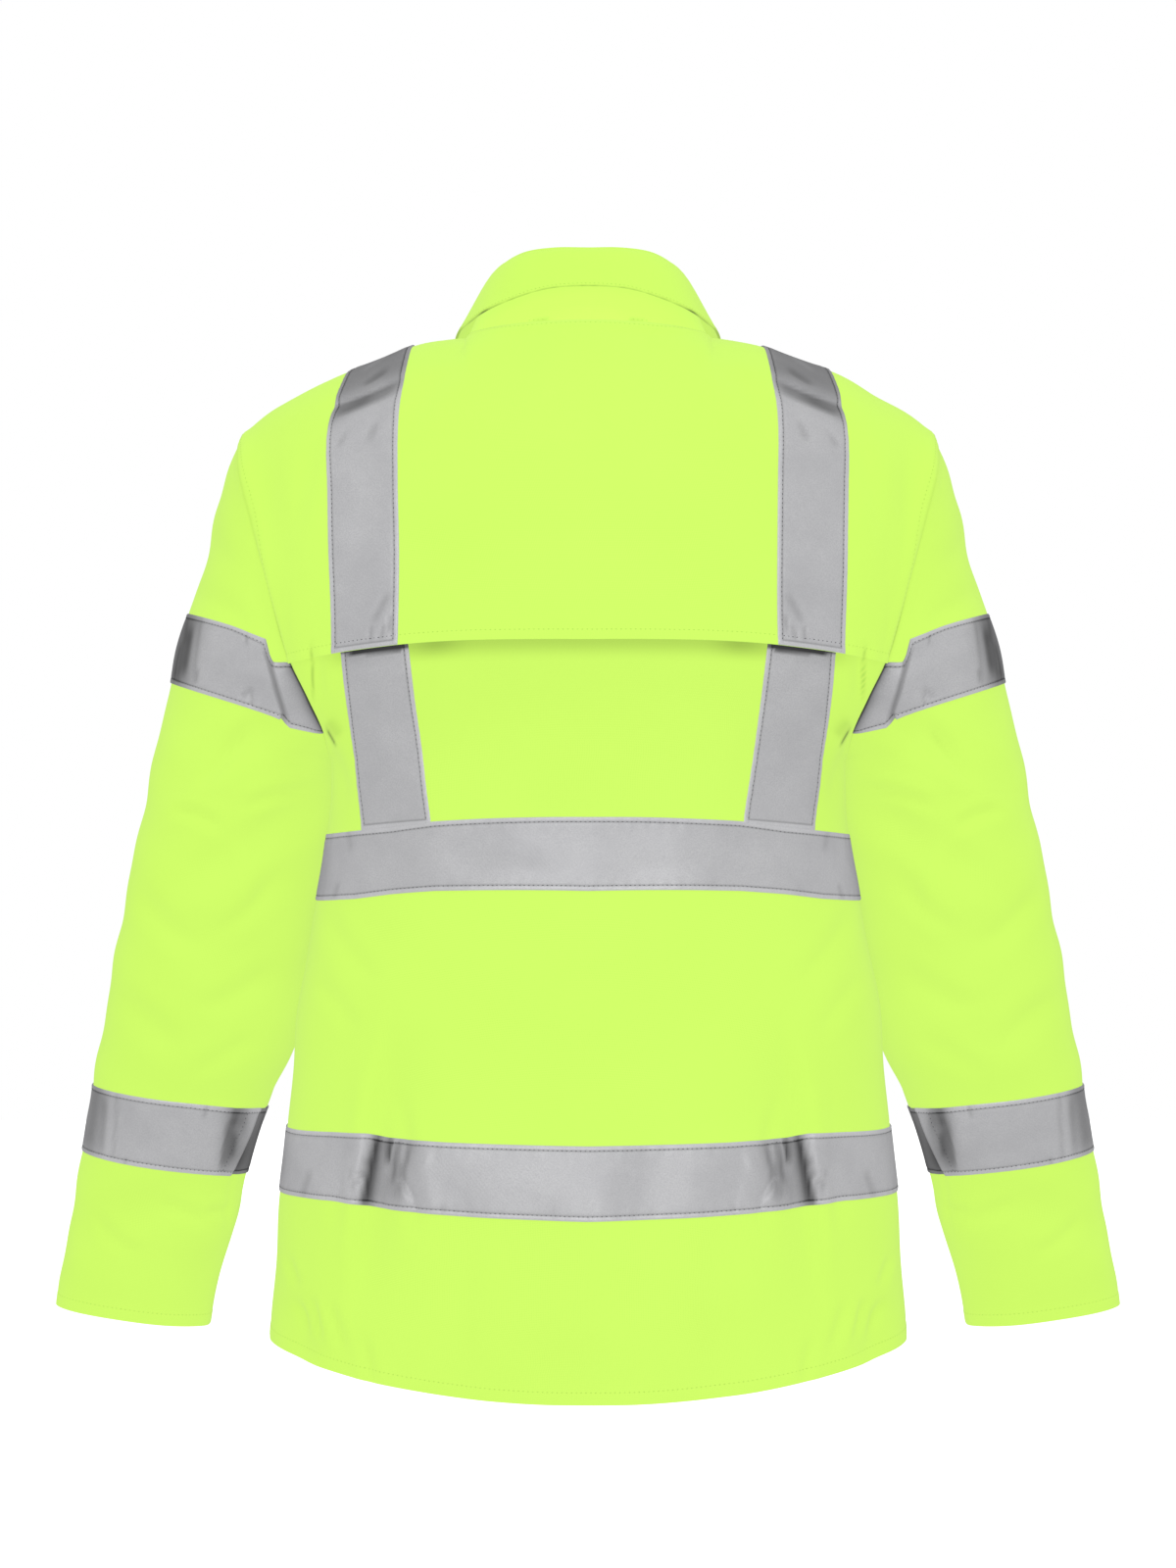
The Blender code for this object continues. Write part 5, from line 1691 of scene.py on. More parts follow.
def add_sheet(
    node: str,
    grid: ClothGrid,
    wall: float,
    finish: Finish,
    stitching: Optional[Stitching] = None,
    thread: Finish = Finish.YELLOW_THREAD,
    sewn_edges: str = "",
) -> bpy.types.Object:
    """Add a cloth piece that stands for a CAD node, with its sewing.

    Args:
        node: The CAD node's name.
        grid: The cloth's outer face.
        wall: Its thickness in metres.
        finish: What it is made of.
        stitching: Its stitches, or nothing.
        thread: The stitches' own finish.
        sewn_edges: Edges whose seams pull on it.

    Returns:
        The cloth's object.
    """
    piece = add_piece(wall_mesh(node + "_cloth", grid, wall, sewn_edges), finish)
    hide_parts(node)
    if stitching is not None and stitching.count:
        add_piece(stitching.mesh(node + "_stitching"), thread)
    LOG.info("%s: %d faces", piece.name, len(piece.data.polygons))
    return piece


def sides(grid: ClothGrid) -> tuple[tuple[str, ClothGrid], tuple[str, ClothGrid]]:
    """Return a left panel's grid and its mirrored copy, each with the name of its side."""
    return ("left", grid), ("right", grid.mirrored())


@dataclass(frozen=True)
class Body:
    """The back and the two fronts, hung from the shoulders."""

    pattern: Pattern
    back_cut: Cut = Cut(0.72, 0.8, 0.43)
    front_cut: Cut = Cut(0.36, 0.74, 0.197)
    stitch: float = 3.4 * MM
    seam_stitch_in: float = 5 * MM
    shoulder_end: float = 8 * MM

    def build(self) -> None:
        """Add the three body panels."""
        back = self.pattern.back
        sewing = Stitching([back.inset("b", Pattern.BODY_HEM)], self.stitch)
        add_sheet(
            "back_panel", back, CLOTH_WALL, Finish.SHELL, sewing,
            sewn_edges="lrt",
        )
        for side, front in sides(self.pattern.front):
            lines = [
                front.inset("b", Pattern.BODY_HEM),
                front.inset("t", self.seam_stitch_in).trimmed(0.0, self.shoulder_end),
                front.inset("l" if side == "left" else "r", self.seam_stitch_in),
            ]
            add_sheet(
                "front_" + side, front, CLOTH_WALL, Finish.SHELL,
                Stitching(lines, self.stitch), sewn_edges="lrt",
            )


@dataclass(frozen=True)
class Cape:
    """The vent cape over the upper back, with its two upright tapes."""

    pattern: Pattern
    cut: Cut = Cut(0.56, 0.27, 0.141)
    tape_cut: Cut = Cut(0.05, 0.31)
    hem_stitch: float = 3.4 * MM
    seam_stitch: float = 3.6 * MM
    armhole_stitch_in: float = 6 * MM
    top_stitch_in: float = 5 * MM
    top_ends: float = 8 * MM

    def build(self) -> None:
        """Add the cape, its hem and its tapes."""
        cape = self.pattern.cape
        seams = [cape.inset(edge, self.armhole_stitch_in) for edge in "lr"]
        seams.append(cape.inset("t", self.top_stitch_in).trimmed(self.top_ends, self.top_ends))
        sewing = Stitching([cape.inset("b", Pattern.CAPE_HEM)], self.hem_stitch)
        sewing.add(seams, self.seam_stitch)
        add_sheet(
            "back_cape", cape, CLOTH_WALL, Finish.SHELL, sewing,
            sewn_edges="lrtb",
        )
        for side, columns in BACK_TAPE_COLUMNS:
            rows = (0.0, float(cape.rows[-1]))
            band = TapeBand(cape, rows, columns, "lr", CAPE_TAPE_CRUMPLES, CAPE_TAPE_SHADOWS)
            node = "cape_tape_" + side
            band.sew(node, band.grid(), hem=Pattern.CAPE_HEM)


# Small crumples of the tapes, where sewing has drawn them up. Each is on the back unless it says.
HEM_TAPE_CRUMPLES = (
    Crease((0.13, -0.583), (0.138, -0.636), 24.0, 1.9, lip=0.0),
    Crease((0.16, -0.599), (0.1665, -0.619), 1.9, -1.6, bow=1.5),
    Crease((0.17, -0.608), (0.1665, -0.63), 2.4, -1.0),
    Crease((0.1387, -0.5853), (0.1417, -0.604), 2.3, -2.2, bow=-0.8),
    Crease((0.1397, -0.604), (0.1376, -0.6306), 2.1, -2.2, bow=1.0),
    Crease((0.1335, -0.608), (0.1213, -0.6264), 2.4, -1.8, bow=-1.0),
    Crease((0.1262, -0.588), (0.1296, -0.6034), 2.8, -1.5),
    Crease((0.113, -0.596), (0.1213, -0.6139), 2.6, 1.1, lip=0.0),
    Crease((0.148, -0.584), (0.152, -0.6), 2.0, 1.4, lip=0.0),
    Crease((0.145, -0.626), (0.1462, -0.639), 1.5, -1.2),
    Crease((0.135, -0.628), (0.1362, -0.64), 1.5, -1.1),
    Crease((0.1213, -0.629), (0.122, -0.64), 1.6, -1.0),
    Crease((0.1028, -0.63), (0.1035, -0.641), 1.6, -0.7),
    Crease((0.201, -0.613), (0.208, -0.633), 3.0, -0.9),
)
# Painted shade: what the folds keep in their own shadow, where a height of -1 is all of the light.
HEM_TAPE_SHADOWS = (
    Crease((0.15, -0.578), (0.162, -0.638), 3.4, -0.9, bow=-0.5, lip=0.0, lean=9.0),
    Crease((0.125, -0.58), (0.142, -0.63), 9.0, -0.3, lip=0.0),
    Crease((0.1395, -0.578), (0.1425, -0.602), 2.2, -0.5, lip=0.0),
    Crease((0.134, -0.586), (0.1385, -0.615), 2.0, -0.26, bow=0.8, lip=0.0),
    Crease((0.126, -0.592), (0.1325, -0.626), 2.6, -0.2, bow=-1.2, lip=0.0),
)
HEM_TAPE_LIFTS = (
    (0.0, 1.0, 0.4), (0.071, 2.6, 1.5), (0.1, 3.6, 2.0), (0.128, 4.6, 3.0), (0.142, 5.2, 3.8),
    (0.158, 6.6, 6.0), (0.185, 7.6, 5.0), (0.213, 6.2, 3.0), (0.24, 4.0, 1.5), (0.262, 0.0, 0.0),
)
WAIST_TAPE_LIFTS = ((0.0, 0.6, 0.9), (0.11, 3.0, 1.8), (0.142, 2.0, 0.0), (0.17, 0.0, 0.0))
WAIST_TAPE_CRUMPLES = (
    Crease((0.175, -0.362), (0.172, -0.38), 2.4, -0.6),
    Crease((0.182, -0.405), (0.186, -0.416), 2.0, -0.7),
)
CAPE_TAPE_CRUMPLES = (
    Crease((0.138, -0.044), (0.186, -0.062), 3.0, -2.6, bow=1.5, lip=0.5, lean=7.0),
    Crease((0.148, -0.064), (0.156, -0.086), 3.5, -0.9),
    Crease((0.17, -0.074), (0.178, -0.09), 2.6, -0.8),
    Crease((0.146, -0.031), (0.162, -0.044), 3.0, -0.8),
    Crease((0.142, -0.198), (0.152, -0.216), 3.0, -0.9),
    Crease((0.145, -0.219), (0.147, -0.229), 1.7, -1.2),
    Crease((0.153, -0.22), (0.1545, -0.23), 1.7, -0.9),
    Crease((0.1395, -0.212), (0.141, -0.224), 1.7, -0.9),
)
# Painted shade where the tape turns over the shoulder and below its crease; the last is a faint painted highlight.
CAPE_TAPE_SHADOWS = (
    Crease((0.118, -0.02), (0.208, -0.0515), 60.0, -0.52, bow=1.5, lip=0.0, face=0, lean=15.0),
    Crease((0.156, -0.053), (0.192, -0.0745), 4.5, -0.2, lip=0.0),
    Crease((0.15, -0.018), (0.164, -0.03), 2.2, 0.1, lip=0.0, face=0),
)
# Painted shade on the upper sleeve bands where they turn away at the outside, with thin darker lines.
UPPER_SLEEVE_SHADOWS = (
    Crease((0.29, -0.198), (0.303, -0.264), 18.0, -0.66, lip=0.0, face=0, lean=11.0),
    Crease((0.282, -0.21), (0.287, -0.256), 1.6, -0.16, lip=0.0),
    Crease((0.295, -0.208), (0.301, -0.258), 1.8, -0.16, lip=0.0),
)
UPPER_SLEEVE_CRUMPLES = (
    Crease((0.2465, -0.224), (0.2475, -0.231), 1.5, -1.0),
    Crease((0.243, -0.266), (0.244, -0.274), 1.5, -1.0),
    Crease((0.242, -0.262), (0.251, -0.268), 2.4, -0.8),
    Crease((0.292, -0.218), (0.296, -0.25), 3.4, -1.2),
    Crease((0.301, -0.226), (0.306, -0.256), 2.6, -1.3),
    Crease((0.284, -0.248), (0.286, -0.258), 1.8, -0.9),
)
# Painted shade on the forearm bands at their outside and at their inner end, with thin darker lines.
FOREARM_SHADOWS = (
    Crease((0.364, -0.544), (0.376, -0.61), 9.0, -0.52, lip=0.0, face=0),
    Crease((0.349, -0.556), (0.354, -0.614), 1.8, -0.16, lip=0.0),
    Crease((0.26, -0.556), (0.27, -0.62), 8.0, -0.5, lip=0.0, face=0),
    Crease((0.255, -0.556), (0.26, -0.59), 2.4, -0.2, lip=0.0),
)
FOREARM_CRUMPLES = (
    Crease((0.269, -0.585), (0.2765, -0.62), 1.9, -1.7, lip=0.5, lean=6.0),
    Crease((0.262, -0.57), (0.266, -0.586), 3.4, -1.2),
    Crease((0.283, -0.57), (0.286, -0.579), 1.8, -0.9),
    Crease((0.264, -0.593), (0.268, -0.611), 2.2, -1.0),
    Crease((0.344, -0.61), (0.346, -0.618), 1.8, -0.9),
    Crease((0.36, -0.566), (0.364, -0.608), 3.0, -0.9),
)


@dataclass(frozen=True)
class TapeBand:
    """Reflective tape sewn flat on a panel, between two of its rows and two of its columns.

    Its lifts say how many millimetres its bottom and top edges lie above those rows, at distances in
    metres from the centre line.
    """

    panel: ClothGrid
    rows: tuple[float, float]
    columns: tuple[float, float]
    sewn: str
    crumples: tuple[Crease, ...] = ()
    shadows: tuple[Crease, ...] = ()
    lifts: tuple[tuple[float, float, float], ...] = ()
    inset: float = 3.6 * MM
    pitch: float = 3.3 * MM
    # Its puckers, the groove of its stitches, and how thin it is at its very edge.
    pucker: float = 11.0 * MM
    pucker_rise: float = 0.16 * MM
    pucker_reach: float = 5.5 * MM
    groove_depth: float = 0.3 * MM
    groove_width: float = 1.1 * MM
    edge_share: float = 0.35
    edge_round: float = 1.3 * MM
    least_height: float = 0.45 * MM
    # The painted shade of its stitch lines and its sewn-in ends, and the painted highlight along its rolled edge.
    stitch_shade: float = 0.34
    edge_light: float = 0.14
    end_shade: float = 0.35

    def places(self, axis: int) -> Array:
        """Return the band's own places along one axis, closer together at its rolled edges.

        Args:
            axis: 0 for rows and 1 for columns.

        Returns:
            Places in order.
        """
        own = self.panel.rows if axis == 0 else self.panel.columns
        low, high = self.rows if axis == 0 else self.columns
        lengths = self.panel.lengths(axis).mean(axis=1 - axis)
        start, end = np.interp((low, high), own, lengths)
        rolled = np.array((0.0, 0.5, 1.4, 2.5, 3.1, 3.6, 4.1, 5.0)) * MM
        inside = np.linspace(start + 6.8 * MM, end - 6.8 * MM, max(int((end - start) / BAND_STEP) - 5, 2))
        places = np.interp(np.concatenate((start + rolled, inside, end - rolled[::-1])), lengths, own)
        places[0], places[-1] = low, high
        return places

    def grid(
        self, columns: Optional[Array] = None, slip: Optional[Array] = None,
        rise: Optional[Array] = None,
    ) -> ClothGrid:
        """Return the tape's outer face on the panel.

        Args:
            columns: Its column places, or nothing for its own.
            slip: How far each point's column is off, as rows by columns.
            rise: How much higher than its row each point lies, in metres.

        Returns:
            The tape's grid.
        """
        base = self.panel.at(self.places(0), self.places(1) if columns is None else columns, slip)
        if self.lifts:
            places, low, high = np.array(self.lifts).T
            share = np.linspace(0.0, 1.0, len(base.rows))[:, None]
            across = np.abs(base.points[..., 0])
            rise = mix(np.interp(across, places, low), np.interp(across, places, high), share) * MM
        if rise is not None:
            base = self.panel.raised(base, rise, slip)
        edge = base.edge_distance(self.sewn + ("b" if "l" in self.sewn else ""))
        off_line = edge - self.inset
        rounded = mix(self.edge_share, 1.0, np.sqrt(np.clip(edge / self.edge_round, 0.0, 1.0)))
        along = base.lengths(1 if "b" in self.sewn else 0)
        waves = np.sin(2 * math.pi * along / self.pucker + 1.7 * np.sin(along * 61.0))
        height = SEAM_GAP + TAPE_WALL * rounded
        height = height - self.groove_depth * np.exp(-(off_line / self.groove_width) ** 2)
        height = height + self.pucker_rise * waves * np.exp(-(off_line / self.pucker_reach) ** 2)
        flat_edge = mix(self.edge_share, 1.0, smooth_step(edge / (3 * MM)))
        crumpled, held_off = (
            sum((crease.heights(base.points, base.normals) for crease in creases), 0.0 * edge)
            for creases in (self.crumples, self.shadows)
        )
        tape = base.moved(np.maximum(height + crumpled * flat_edge, self.least_height))
        # Painted shade in the crumples' troughs and the listed shadows, along the stitch grooves and at the ends;
        # a painted highlight along the rolled edge.
        tape.shade = np.clip(-crumpled / (5.0 * MM), 0.0, 0.4) - held_off / MM
        tape.shade += self.stitch_shade * np.exp(-(off_line / (0.55 * MM)) ** 2)
        tape.shade -= self.edge_light * (1 - smooth_step((off_line + 1.3 * MM) / (0.9 * MM)))
        if "b" in self.sewn:
            tape.shade += self.end_shade * np.exp(-base.edge_distance("lr") / (4.0 * MM))
        tape.find_normals()
        return tape

    def sew(
        self, node: str, strip: ClothGrid, hem: float = 0.0,
        extra: Sequence[ClothLine] = (),
    ) -> None:
        """Add one strip of tape with a line of stitches inside each of its edges.

        Args:
            node: The CAD node that it stands for.
            strip: Its outer face.
            hem: How far up a hem's own stitches cross it, or 0.
            extra: More lines to sew.
        """
        lines = [strip.inset(edge, self.inset) for edge in self.sewn]
        if hem:
            lines.append(strip.inset("b", hem))
        sewing = Stitching([*lines, *extra], self.pitch)
        add_sheet(
            node, strip, TAPE_WALL, Finish.TAPE, sewing, Finish.GREY_THREAD,
            sewn_edges=self.sewn,
        )


@dataclass(frozen=True)
class BodyTapes:
    """The two bands round the body and the upright tapes between them and the shoulders."""

    pattern: Pattern
    waist_back_cut: Cut = Cut(0.53, 0.052)
    hem_back_cut: Cut = Cut(0.62, 0.053)
    waist_front_cut: Cut = Cut(0.27, 0.052)
    hem_front_cut: Cut = Cut(0.3, 0.051)
    back_tape_cut: Cut = Cut(0.05, 0.22)
    front_tape_cut: Cut = Cut(0.05, 0.45)
    # A painted shadow of the cape's hem on the tape below it: a deep one so wide, and a soft one past that.
    cape_shadow: float = 3.4 * MM
    cape_shade: float = 0.93
    cape_soft_shadow: float = 16 * MM
    cape_soft_shade: float = 0.12

    def build(self) -> None:
        """Add every band of the body."""
        back, front = self.pattern.back, self.pattern.front
        bands = (
            ("waist", self.waist_back_cut, self.waist_front_cut, WAIST_TAPE_CRUMPLES, (), WAIST_TAPE_LIFTS),
            (
                "hem", self.hem_back_cut, self.hem_front_cut, HEM_TAPE_CRUMPLES, HEM_TAPE_SHADOWS,
                HEM_TAPE_LIFTS,
            ),
        )
        for name, back_cut, front_cut, crumples, shadows, lifts in bands:
            rows = tape_rows(BODY_ROWS, name + "_tape")
            band = TapeBand(back, rows, (0.0, 2.0 * SIDE), "bt", crumples, shadows, lifts)
            band.sew(name + "_tape_back", band.grid())
            band = TapeBand(front, rows, (0.0, float(SIDE)), "bt", lifts=lifts)
            for side, strip in sides(band.grid()):
                band.sew(f"{name}_tape_front_{side}", strip)
        waist = float(body_row("waist_tape_top"))
        for side, columns in BACK_TAPE_COLUMNS:
            band = TapeBand(back, (waist, float(body_row("blade"))), columns, "lr")
            strip = band.grid()
            strip.shade = strip.shade + self._under_cape(strip)
            band.sew("back_tape_" + side, strip)
        band = TapeBand(front, (waist, float(back.rows[-1])), (float(TAPE_IN), float(TAPE_OUT)), "lr")
        for side, strip in sides(band.grid()):
            band.sew("front_tape_" + side, strip)

    def _under_cape(self, strip: ClothGrid) -> Array:
        """Return the painted shadow, deep and then soft, on an upright tape where it comes out from under the
        cape's hem.
        """
        below = self.pattern.below_cape(strip.points)
        across = np.abs(strip.points[..., 0])
        within = np.clip((0.18 - across) / 0.022, 0.0, 1.0) * np.clip((across - 0.124) / 0.01, 0.0, 1.0)
        deep = 1 - smooth_step((below - self.cape_shadow * within) / (1.2 * MM))
        soft = (1 - smooth_step(below / self.cape_soft_shadow)) * (1 - deep)
        return self.cape_shade * deep + self.cape_soft_shade * soft


# A tape's cut end is a step that starts so many columns early and is so many columns wide.
STEP_START = 0.02
STEP_COLUMNS = 0.05


@dataclass(frozen=True)
class Sleeves:
    """Both sleeves with the band at the upper arm and the band round the forearm."""

    pattern: Pattern
    cut: Cut = Cut(0.44, 0.7, 0.226)
    upper_cut: Cut = Cut(0.36, 0.05)
    forearm_cut: Cut = Cut(0.41, 0.051)
    cuff_stitch: float = 3.4 * MM
    # Where the forearm band's upper end lies, as a column at its bottom edge and its top edge.
    end_columns: tuple[float, float] = (18.25, 18.95)
    end_rise: float = 1.2 * MM
    end_stitches: float = 0.7
    # Painted shade on the end that lies under the other one.
    end_shade: float = 0.6
    # The upper band's tuck at its bottom and its top: its column, how far the end past it drops, and
    # over how many columns it does.
    tuck_columns: tuple[float, float] = (17.75, 18.75)
    tuck_drop: tuple[float, float] = (9.0 * MM, 6.5 * MM)
    tuck_turn: tuple[float, float] = (0.28, 0.1)
    tuck_rise: float = 8.5 * MM
    tuck_depth: float = 2.2 * MM
    # Painted shade beside the tuck's step and along the band's armhole end, with a darker line at the seam.
    tuck_shade: float = 0.45
    armhole_shade: float = 0.45
    armhole_line: float = 0.3

    def build(self) -> None:
        """Add both sleeves and their bands."""
        for side, sleeve in sides(self.pattern.sleeve):
            sewing = Stitching([sleeve.inset("b", Pattern.CUFF_HEM)], self.cuff_stitch)
            add_sheet(
                "sleeve_" + side, sleeve, CLOTH_WALL, Finish.SHELL,
                sewing, sewn_edges="lr",
            )
        band = TapeBand(
            self.pattern.sleeve, tape_rows(SLEEVE_ROWS, "arm_tape"), (0.03, 2 * ARM_STEPS - 0.03), "bt",
            UPPER_SLEEVE_CRUMPLES, UPPER_SLEEVE_SHADOWS,
        )
        for side, strip in sides(self._tucked(band)):
            band.sew("upper_sleeve_tape_" + side, strip)
        self._forearm_bands()

    def _tucked(self, band: TapeBand) -> ClothGrid:
        """Return the upper band with its tuck. Its end by the back armhole lies lower, under the rest."""
        low, high = self.tuck_columns
        middle = (low + high) / 2
        columns, slip = self._slanted(band, low, high)
        last = float(band.panel.columns[-1])
        share = np.linspace(0.0, 1.0, len(slip))[:, None]
        behind = columns - middle + STEP_START
        past = smooth_step(behind / STEP_COLUMNS)[None, :]
        fallen = smooth_step(behind[None, :] / mix(*self.tuck_turn, share))
        before = np.maximum(middle - columns, 0.0)[None, :]
        rise = self.tuck_rise * share * np.exp(-(before / 4.5) ** 2) * (1 - past)
        left = np.clip((last - columns) / (last - middle), 0.0, 1.0)
        drop = mix(*self.tuck_drop, share) * fallen * left ** mix(0.5, 1.0, share)
        over = self.tuck_depth * np.exp(-before / 0.7) * (1 - past)
        strip = band.grid(columns, slip, rise - drop)
        strip.points = strip.points + strip.normals * over[..., None]
        strip.find_normals()
        seam = strip.edge_distance("lr")
        strip.shade = strip.shade + self.tuck_shade * np.exp(-((columns - middle - 0.06) / 0.09) ** 2)
        strip.shade += self.armhole_shade * np.exp(-seam / (5.5 * MM))
        strip.shade += self.armhole_line * np.exp(-(seam / (1.3 * MM)) ** 2)
        return strip

    @staticmethod
    def _slanted(band: TapeBand, low: float, high: float) -> tuple[Array, Array]:
        """Return column places with a sharp step in them, and the slip that slants it.

        Args:
            band: The band that the step crosses.
            low: The step's column at the band's bottom edge.
            high: The step's column at its top edge.

        Returns:
            The columns, and their slip as rows by columns.
        """
        middle = (low + high) / 2
        step = middle + np.array((-0.12, -0.02, 0.0, 0.02, 0.04, 0.08, 0.14))
        columns = band.places(1)
        columns = np.unique(np.concatenate((columns[np.abs(columns - middle) > 0.17], step)))
        share = np.linspace(0.0, 1.0, len(band.places(0)))
        reach = np.where(columns > middle, min(1.9, columns[-1] - middle), 1.9)
        window = 1 - smooth_step(np.abs(columns - middle) / reach)
        return columns, (share - 0.5)[:, None] * (high - low) * window[None, :]

    def _forearm_bands(self) -> None:
        """Add the forearm bands. The upper end of each lies over the lower one, cut on a slant."""
        band = TapeBand(
            self.pattern.sleeve, tape_rows(SLEEVE_ROWS, "forearm_tape"), (0.0, 2.0 * ARM_STEPS), "bt",
            FOREARM_CRUMPLES, FOREARM_SHADOWS,
        )
        low, high = self.end_columns
        middle = (low + high) / 2
        columns, slip = self._slanted(band, low, high)
        strip = band.grid(columns, slip)
        over = 1 - smooth_step((columns - middle + STEP_START) / STEP_COLUMNS)
        over = over * np.exp(-np.maximum(middle - columns, 0.0) / 2.6)
        strip = strip.moved(self.end_rise * over[None, :])
        strip.find_normals()
        under = smooth_step((columns - middle + 0.01) / STEP_COLUMNS)
        strip.shade = strip.shade + self.end_shade * under
        stitched = middle - self.end_stitches
        for side, mirrored in sides(strip):
            column = stitched if side == "left" else mirrored.columns[-1] + mirrored.columns[0] - stitched
            line = mirrored.line(mirrored.rows, [column]).trimmed(3 * MM, 3 * MM)
            node, sleeve = "forearm_tape_" + side, f"sleeve_{side}_cloth"
            band.sew(node, mirrored, extra=[line])


@dataclass(frozen=True)
class Collar:
    """The stand on the neck seam, and the fall that turns down over it from a rolled fold."""

    pattern: Pattern
    stand_cut: Cut = Cut(0.46, 0.055, 0.0249)
    fall_cut: Cut = Cut(0.56, 0.062, 0.0296)
    edge_stitch: float = 3.1 * MM
    edge_stitch_in: float = 2.6 * MM
    fold_radius: float = 1.15 * MM
    around: int = 7
    # The bar marks on the stand: their row, their ends as columns, and their stitch.
    bar_row: float = 1.35
    bar_columns: tuple[tuple[float, float], ...] = ((8.35, 8.85), (11.15, 11.65))
    bar_stitch: float = 3.0 * MM
    bar_mark: Crease = Crease((0.0294, 0.0052), (0.0413, 0.0045), 0.9, 0.5, lip=0.0)
    # The painted light that lifts the stand over the shell, and the painted shades of its seam and of the fall's
    # edge.
    stand_painted_light: float = 0.1
    neck_shade: float = 0.16
    edge_shade: float = 0.42
    side_shade: float = 0.4
    side_x: float = 0.076
    # The stand's rows, from inside the neck seam up to the fold, and how far its middle stands out.
    stand_shares: tuple[float, ...] = (-0.1, 0.0, 0.08, 0.2, 0.35, 0.5, 0.7, 0.86, 1.0)
    stand_bulge: float = 1.2 * MM
    # The fall's rows from its edge up to the fold, then its turns over the fold in degrees.
    fall_shares: tuple[float, ...] = (1.0, 0.985, 0.95, 0.9, 0.8, 0.68, 0.55, 0.42, 0.3, 0.19, 0.1, 0.04)
    fold_turns: tuple[float, ...] = (0.0, 35.0, 75.0, 115.0, 150.0, 180.0)
    edge_wave: float = 0.7 * MM
    rim_tuck: float = -0.5 * MM

    def build(self) -> None:
        """Add the stand and the fall."""
        coarse = 2 * (len(COLLAR_SECTIONS) - 1)
        columns = np.linspace(0.0, float(coarse), coarse * self.around + 1)
        stand = self._stand(columns)
        # The stand is darker along the bar marks, has painted shade at the neck seam and a painted light that
        # lifts it all over.
        seam = np.exp(-(stand.edge_distance("b") / (2.5 * MM)) ** 2)
        stand.shade = self.bar_mark.heights(stand.points, stand.normals) / MM - self.stand_painted_light
        stand.shade += self.neck_shade * seam
        bars = [stand.line([self.bar_row], np.linspace(low, high, 6)) for low, high in self.bar_columns]
        sewing = Stitching(bars, self.bar_stitch)
        add_sheet(
            "collar_stand", stand, COLLAR_WALL, Finish.COLLAR, sewing,
            sewn_edges="b",
        )
        fall = self._fall(columns)
        # A thin broken shadow is painted along the fall's edge, deepest where it leaves the neck at the sides.
        across = np.abs(fall.points[..., 0])
        broken = 0.62 + 0.38 * np.sin(across * 430.0) * np.sin(across * 171.0 + 1.0)
        deep = self.edge_shade + self.side_shade * np.exp(-((across - self.side_x) / 0.008) ** 2)
        fall.shade = deep * broken * np.exp(-(fall.edge_distance("b") / (0.9 * MM)) ** 2)
        lines = [fall.inset("b", self.edge_stitch_in)]
        lines += [fall.inset(edge, self.edge_stitch_in).trimmed(3 * MM, 4 * MM) for edge in "lr"]
        sewing = Stitching(lines, self.edge_stitch)
        add_sheet(
            "collar_fall", fall, COLLAR_WALL, Finish.COLLAR, sewing,
            sewn_edges="b",
        )

    def _neck(self) -> Array:
        """Return the neck seam's points at the collar's columns, from its centre back to its left end."""
        back, front = self.pattern.back, self.pattern.front
        top = np.array([back.rows[-1]])
        half = list(back.at(top, np.arange(SIDE, SIDE - NECK_STEPS - 1, -1.0)).points[0])
        half += list(front.at(top, np.arange(NECK_STEPS - 1.0, -1.0, -1.0)).points[0])
        return np.array(half)

    @staticmethod
    def _grid(halves: Sequence[list[Array]], columns: Array) -> ClothGrid:
        """Return a grid round the neck from rows that each start at the centre back."""
        coarse = np.array([both_halves(half) for half in halves])
        points = spline(coarse.swapaxes(0, 1), columns).swapaxes(0, 1)
        return ClothGrid.from_points(points, np.arange(len(halves), dtype=float), columns)

    @staticmethod
    def _sections() -> list[tuple[Array, Array, Array]]:
        """Return each section's fold, its lower edge and its level way out."""
        found = []
        for section in COLLAR_SECTIONS:
            fold, edge = np.array(section.fold), np.array(section.edge)
            found.append((fold, edge, unit(fold * (1.0, 1.0, 0.0))))
        return found

    def _stand(self, columns: Array) -> ClothGrid:
        """Return the stand, from just inside the neck seam up to the fold."""
        halves = []
        for share in self.stand_shares:
            half = []
            swell = self.stand_bulge * math.sin(math.pi * min(max(share, 0.0), 1.0))
            for seam, (fold, _, out) in zip(self._neck(), self._sections()):
                top = fold - out * STAND_TOP_INSET - (0.0, 0.0, STAND_TOP_DROP)
                half.append(mix(seam + (0.0, 0.0, SEAM_GAP), top, share) + out * swell)
            halves.append(half)
        return self._grid(halves, columns)

    def _fall(self, columns: Array) -> ClothGrid:
        """Return the fall, from its lower edge up, over the fold and a little way down inside."""
        halves = []
        for share in self.fall_shares:
            arc = math.sin(math.pi * share ** 0.5) * FALL_BULGE
            rim = self.rim_tuck if share > 0.99 else 0.0
            half = []
            for number, (fold, edge, out) in enumerate(self._sections()):
                wave = self.edge_wave * math.sin(number * 1.9 + 0.6) * share ** 2
                half.append(mix(fold, edge, share) + out * (arc + wave + rim))
            halves.append(half)
        for turn in self.fold_turns:
            lean = math.radians(turn)
            rise = np.array((0.0, 0.0, math.sin(lean) * self.fold_radius))
            inward = (math.cos(lean) - 1) * self.fold_radius
            halves.append([fold + out * inward + rise for fold, _, out in self._sections()])
        return self._grid(halves, columns)


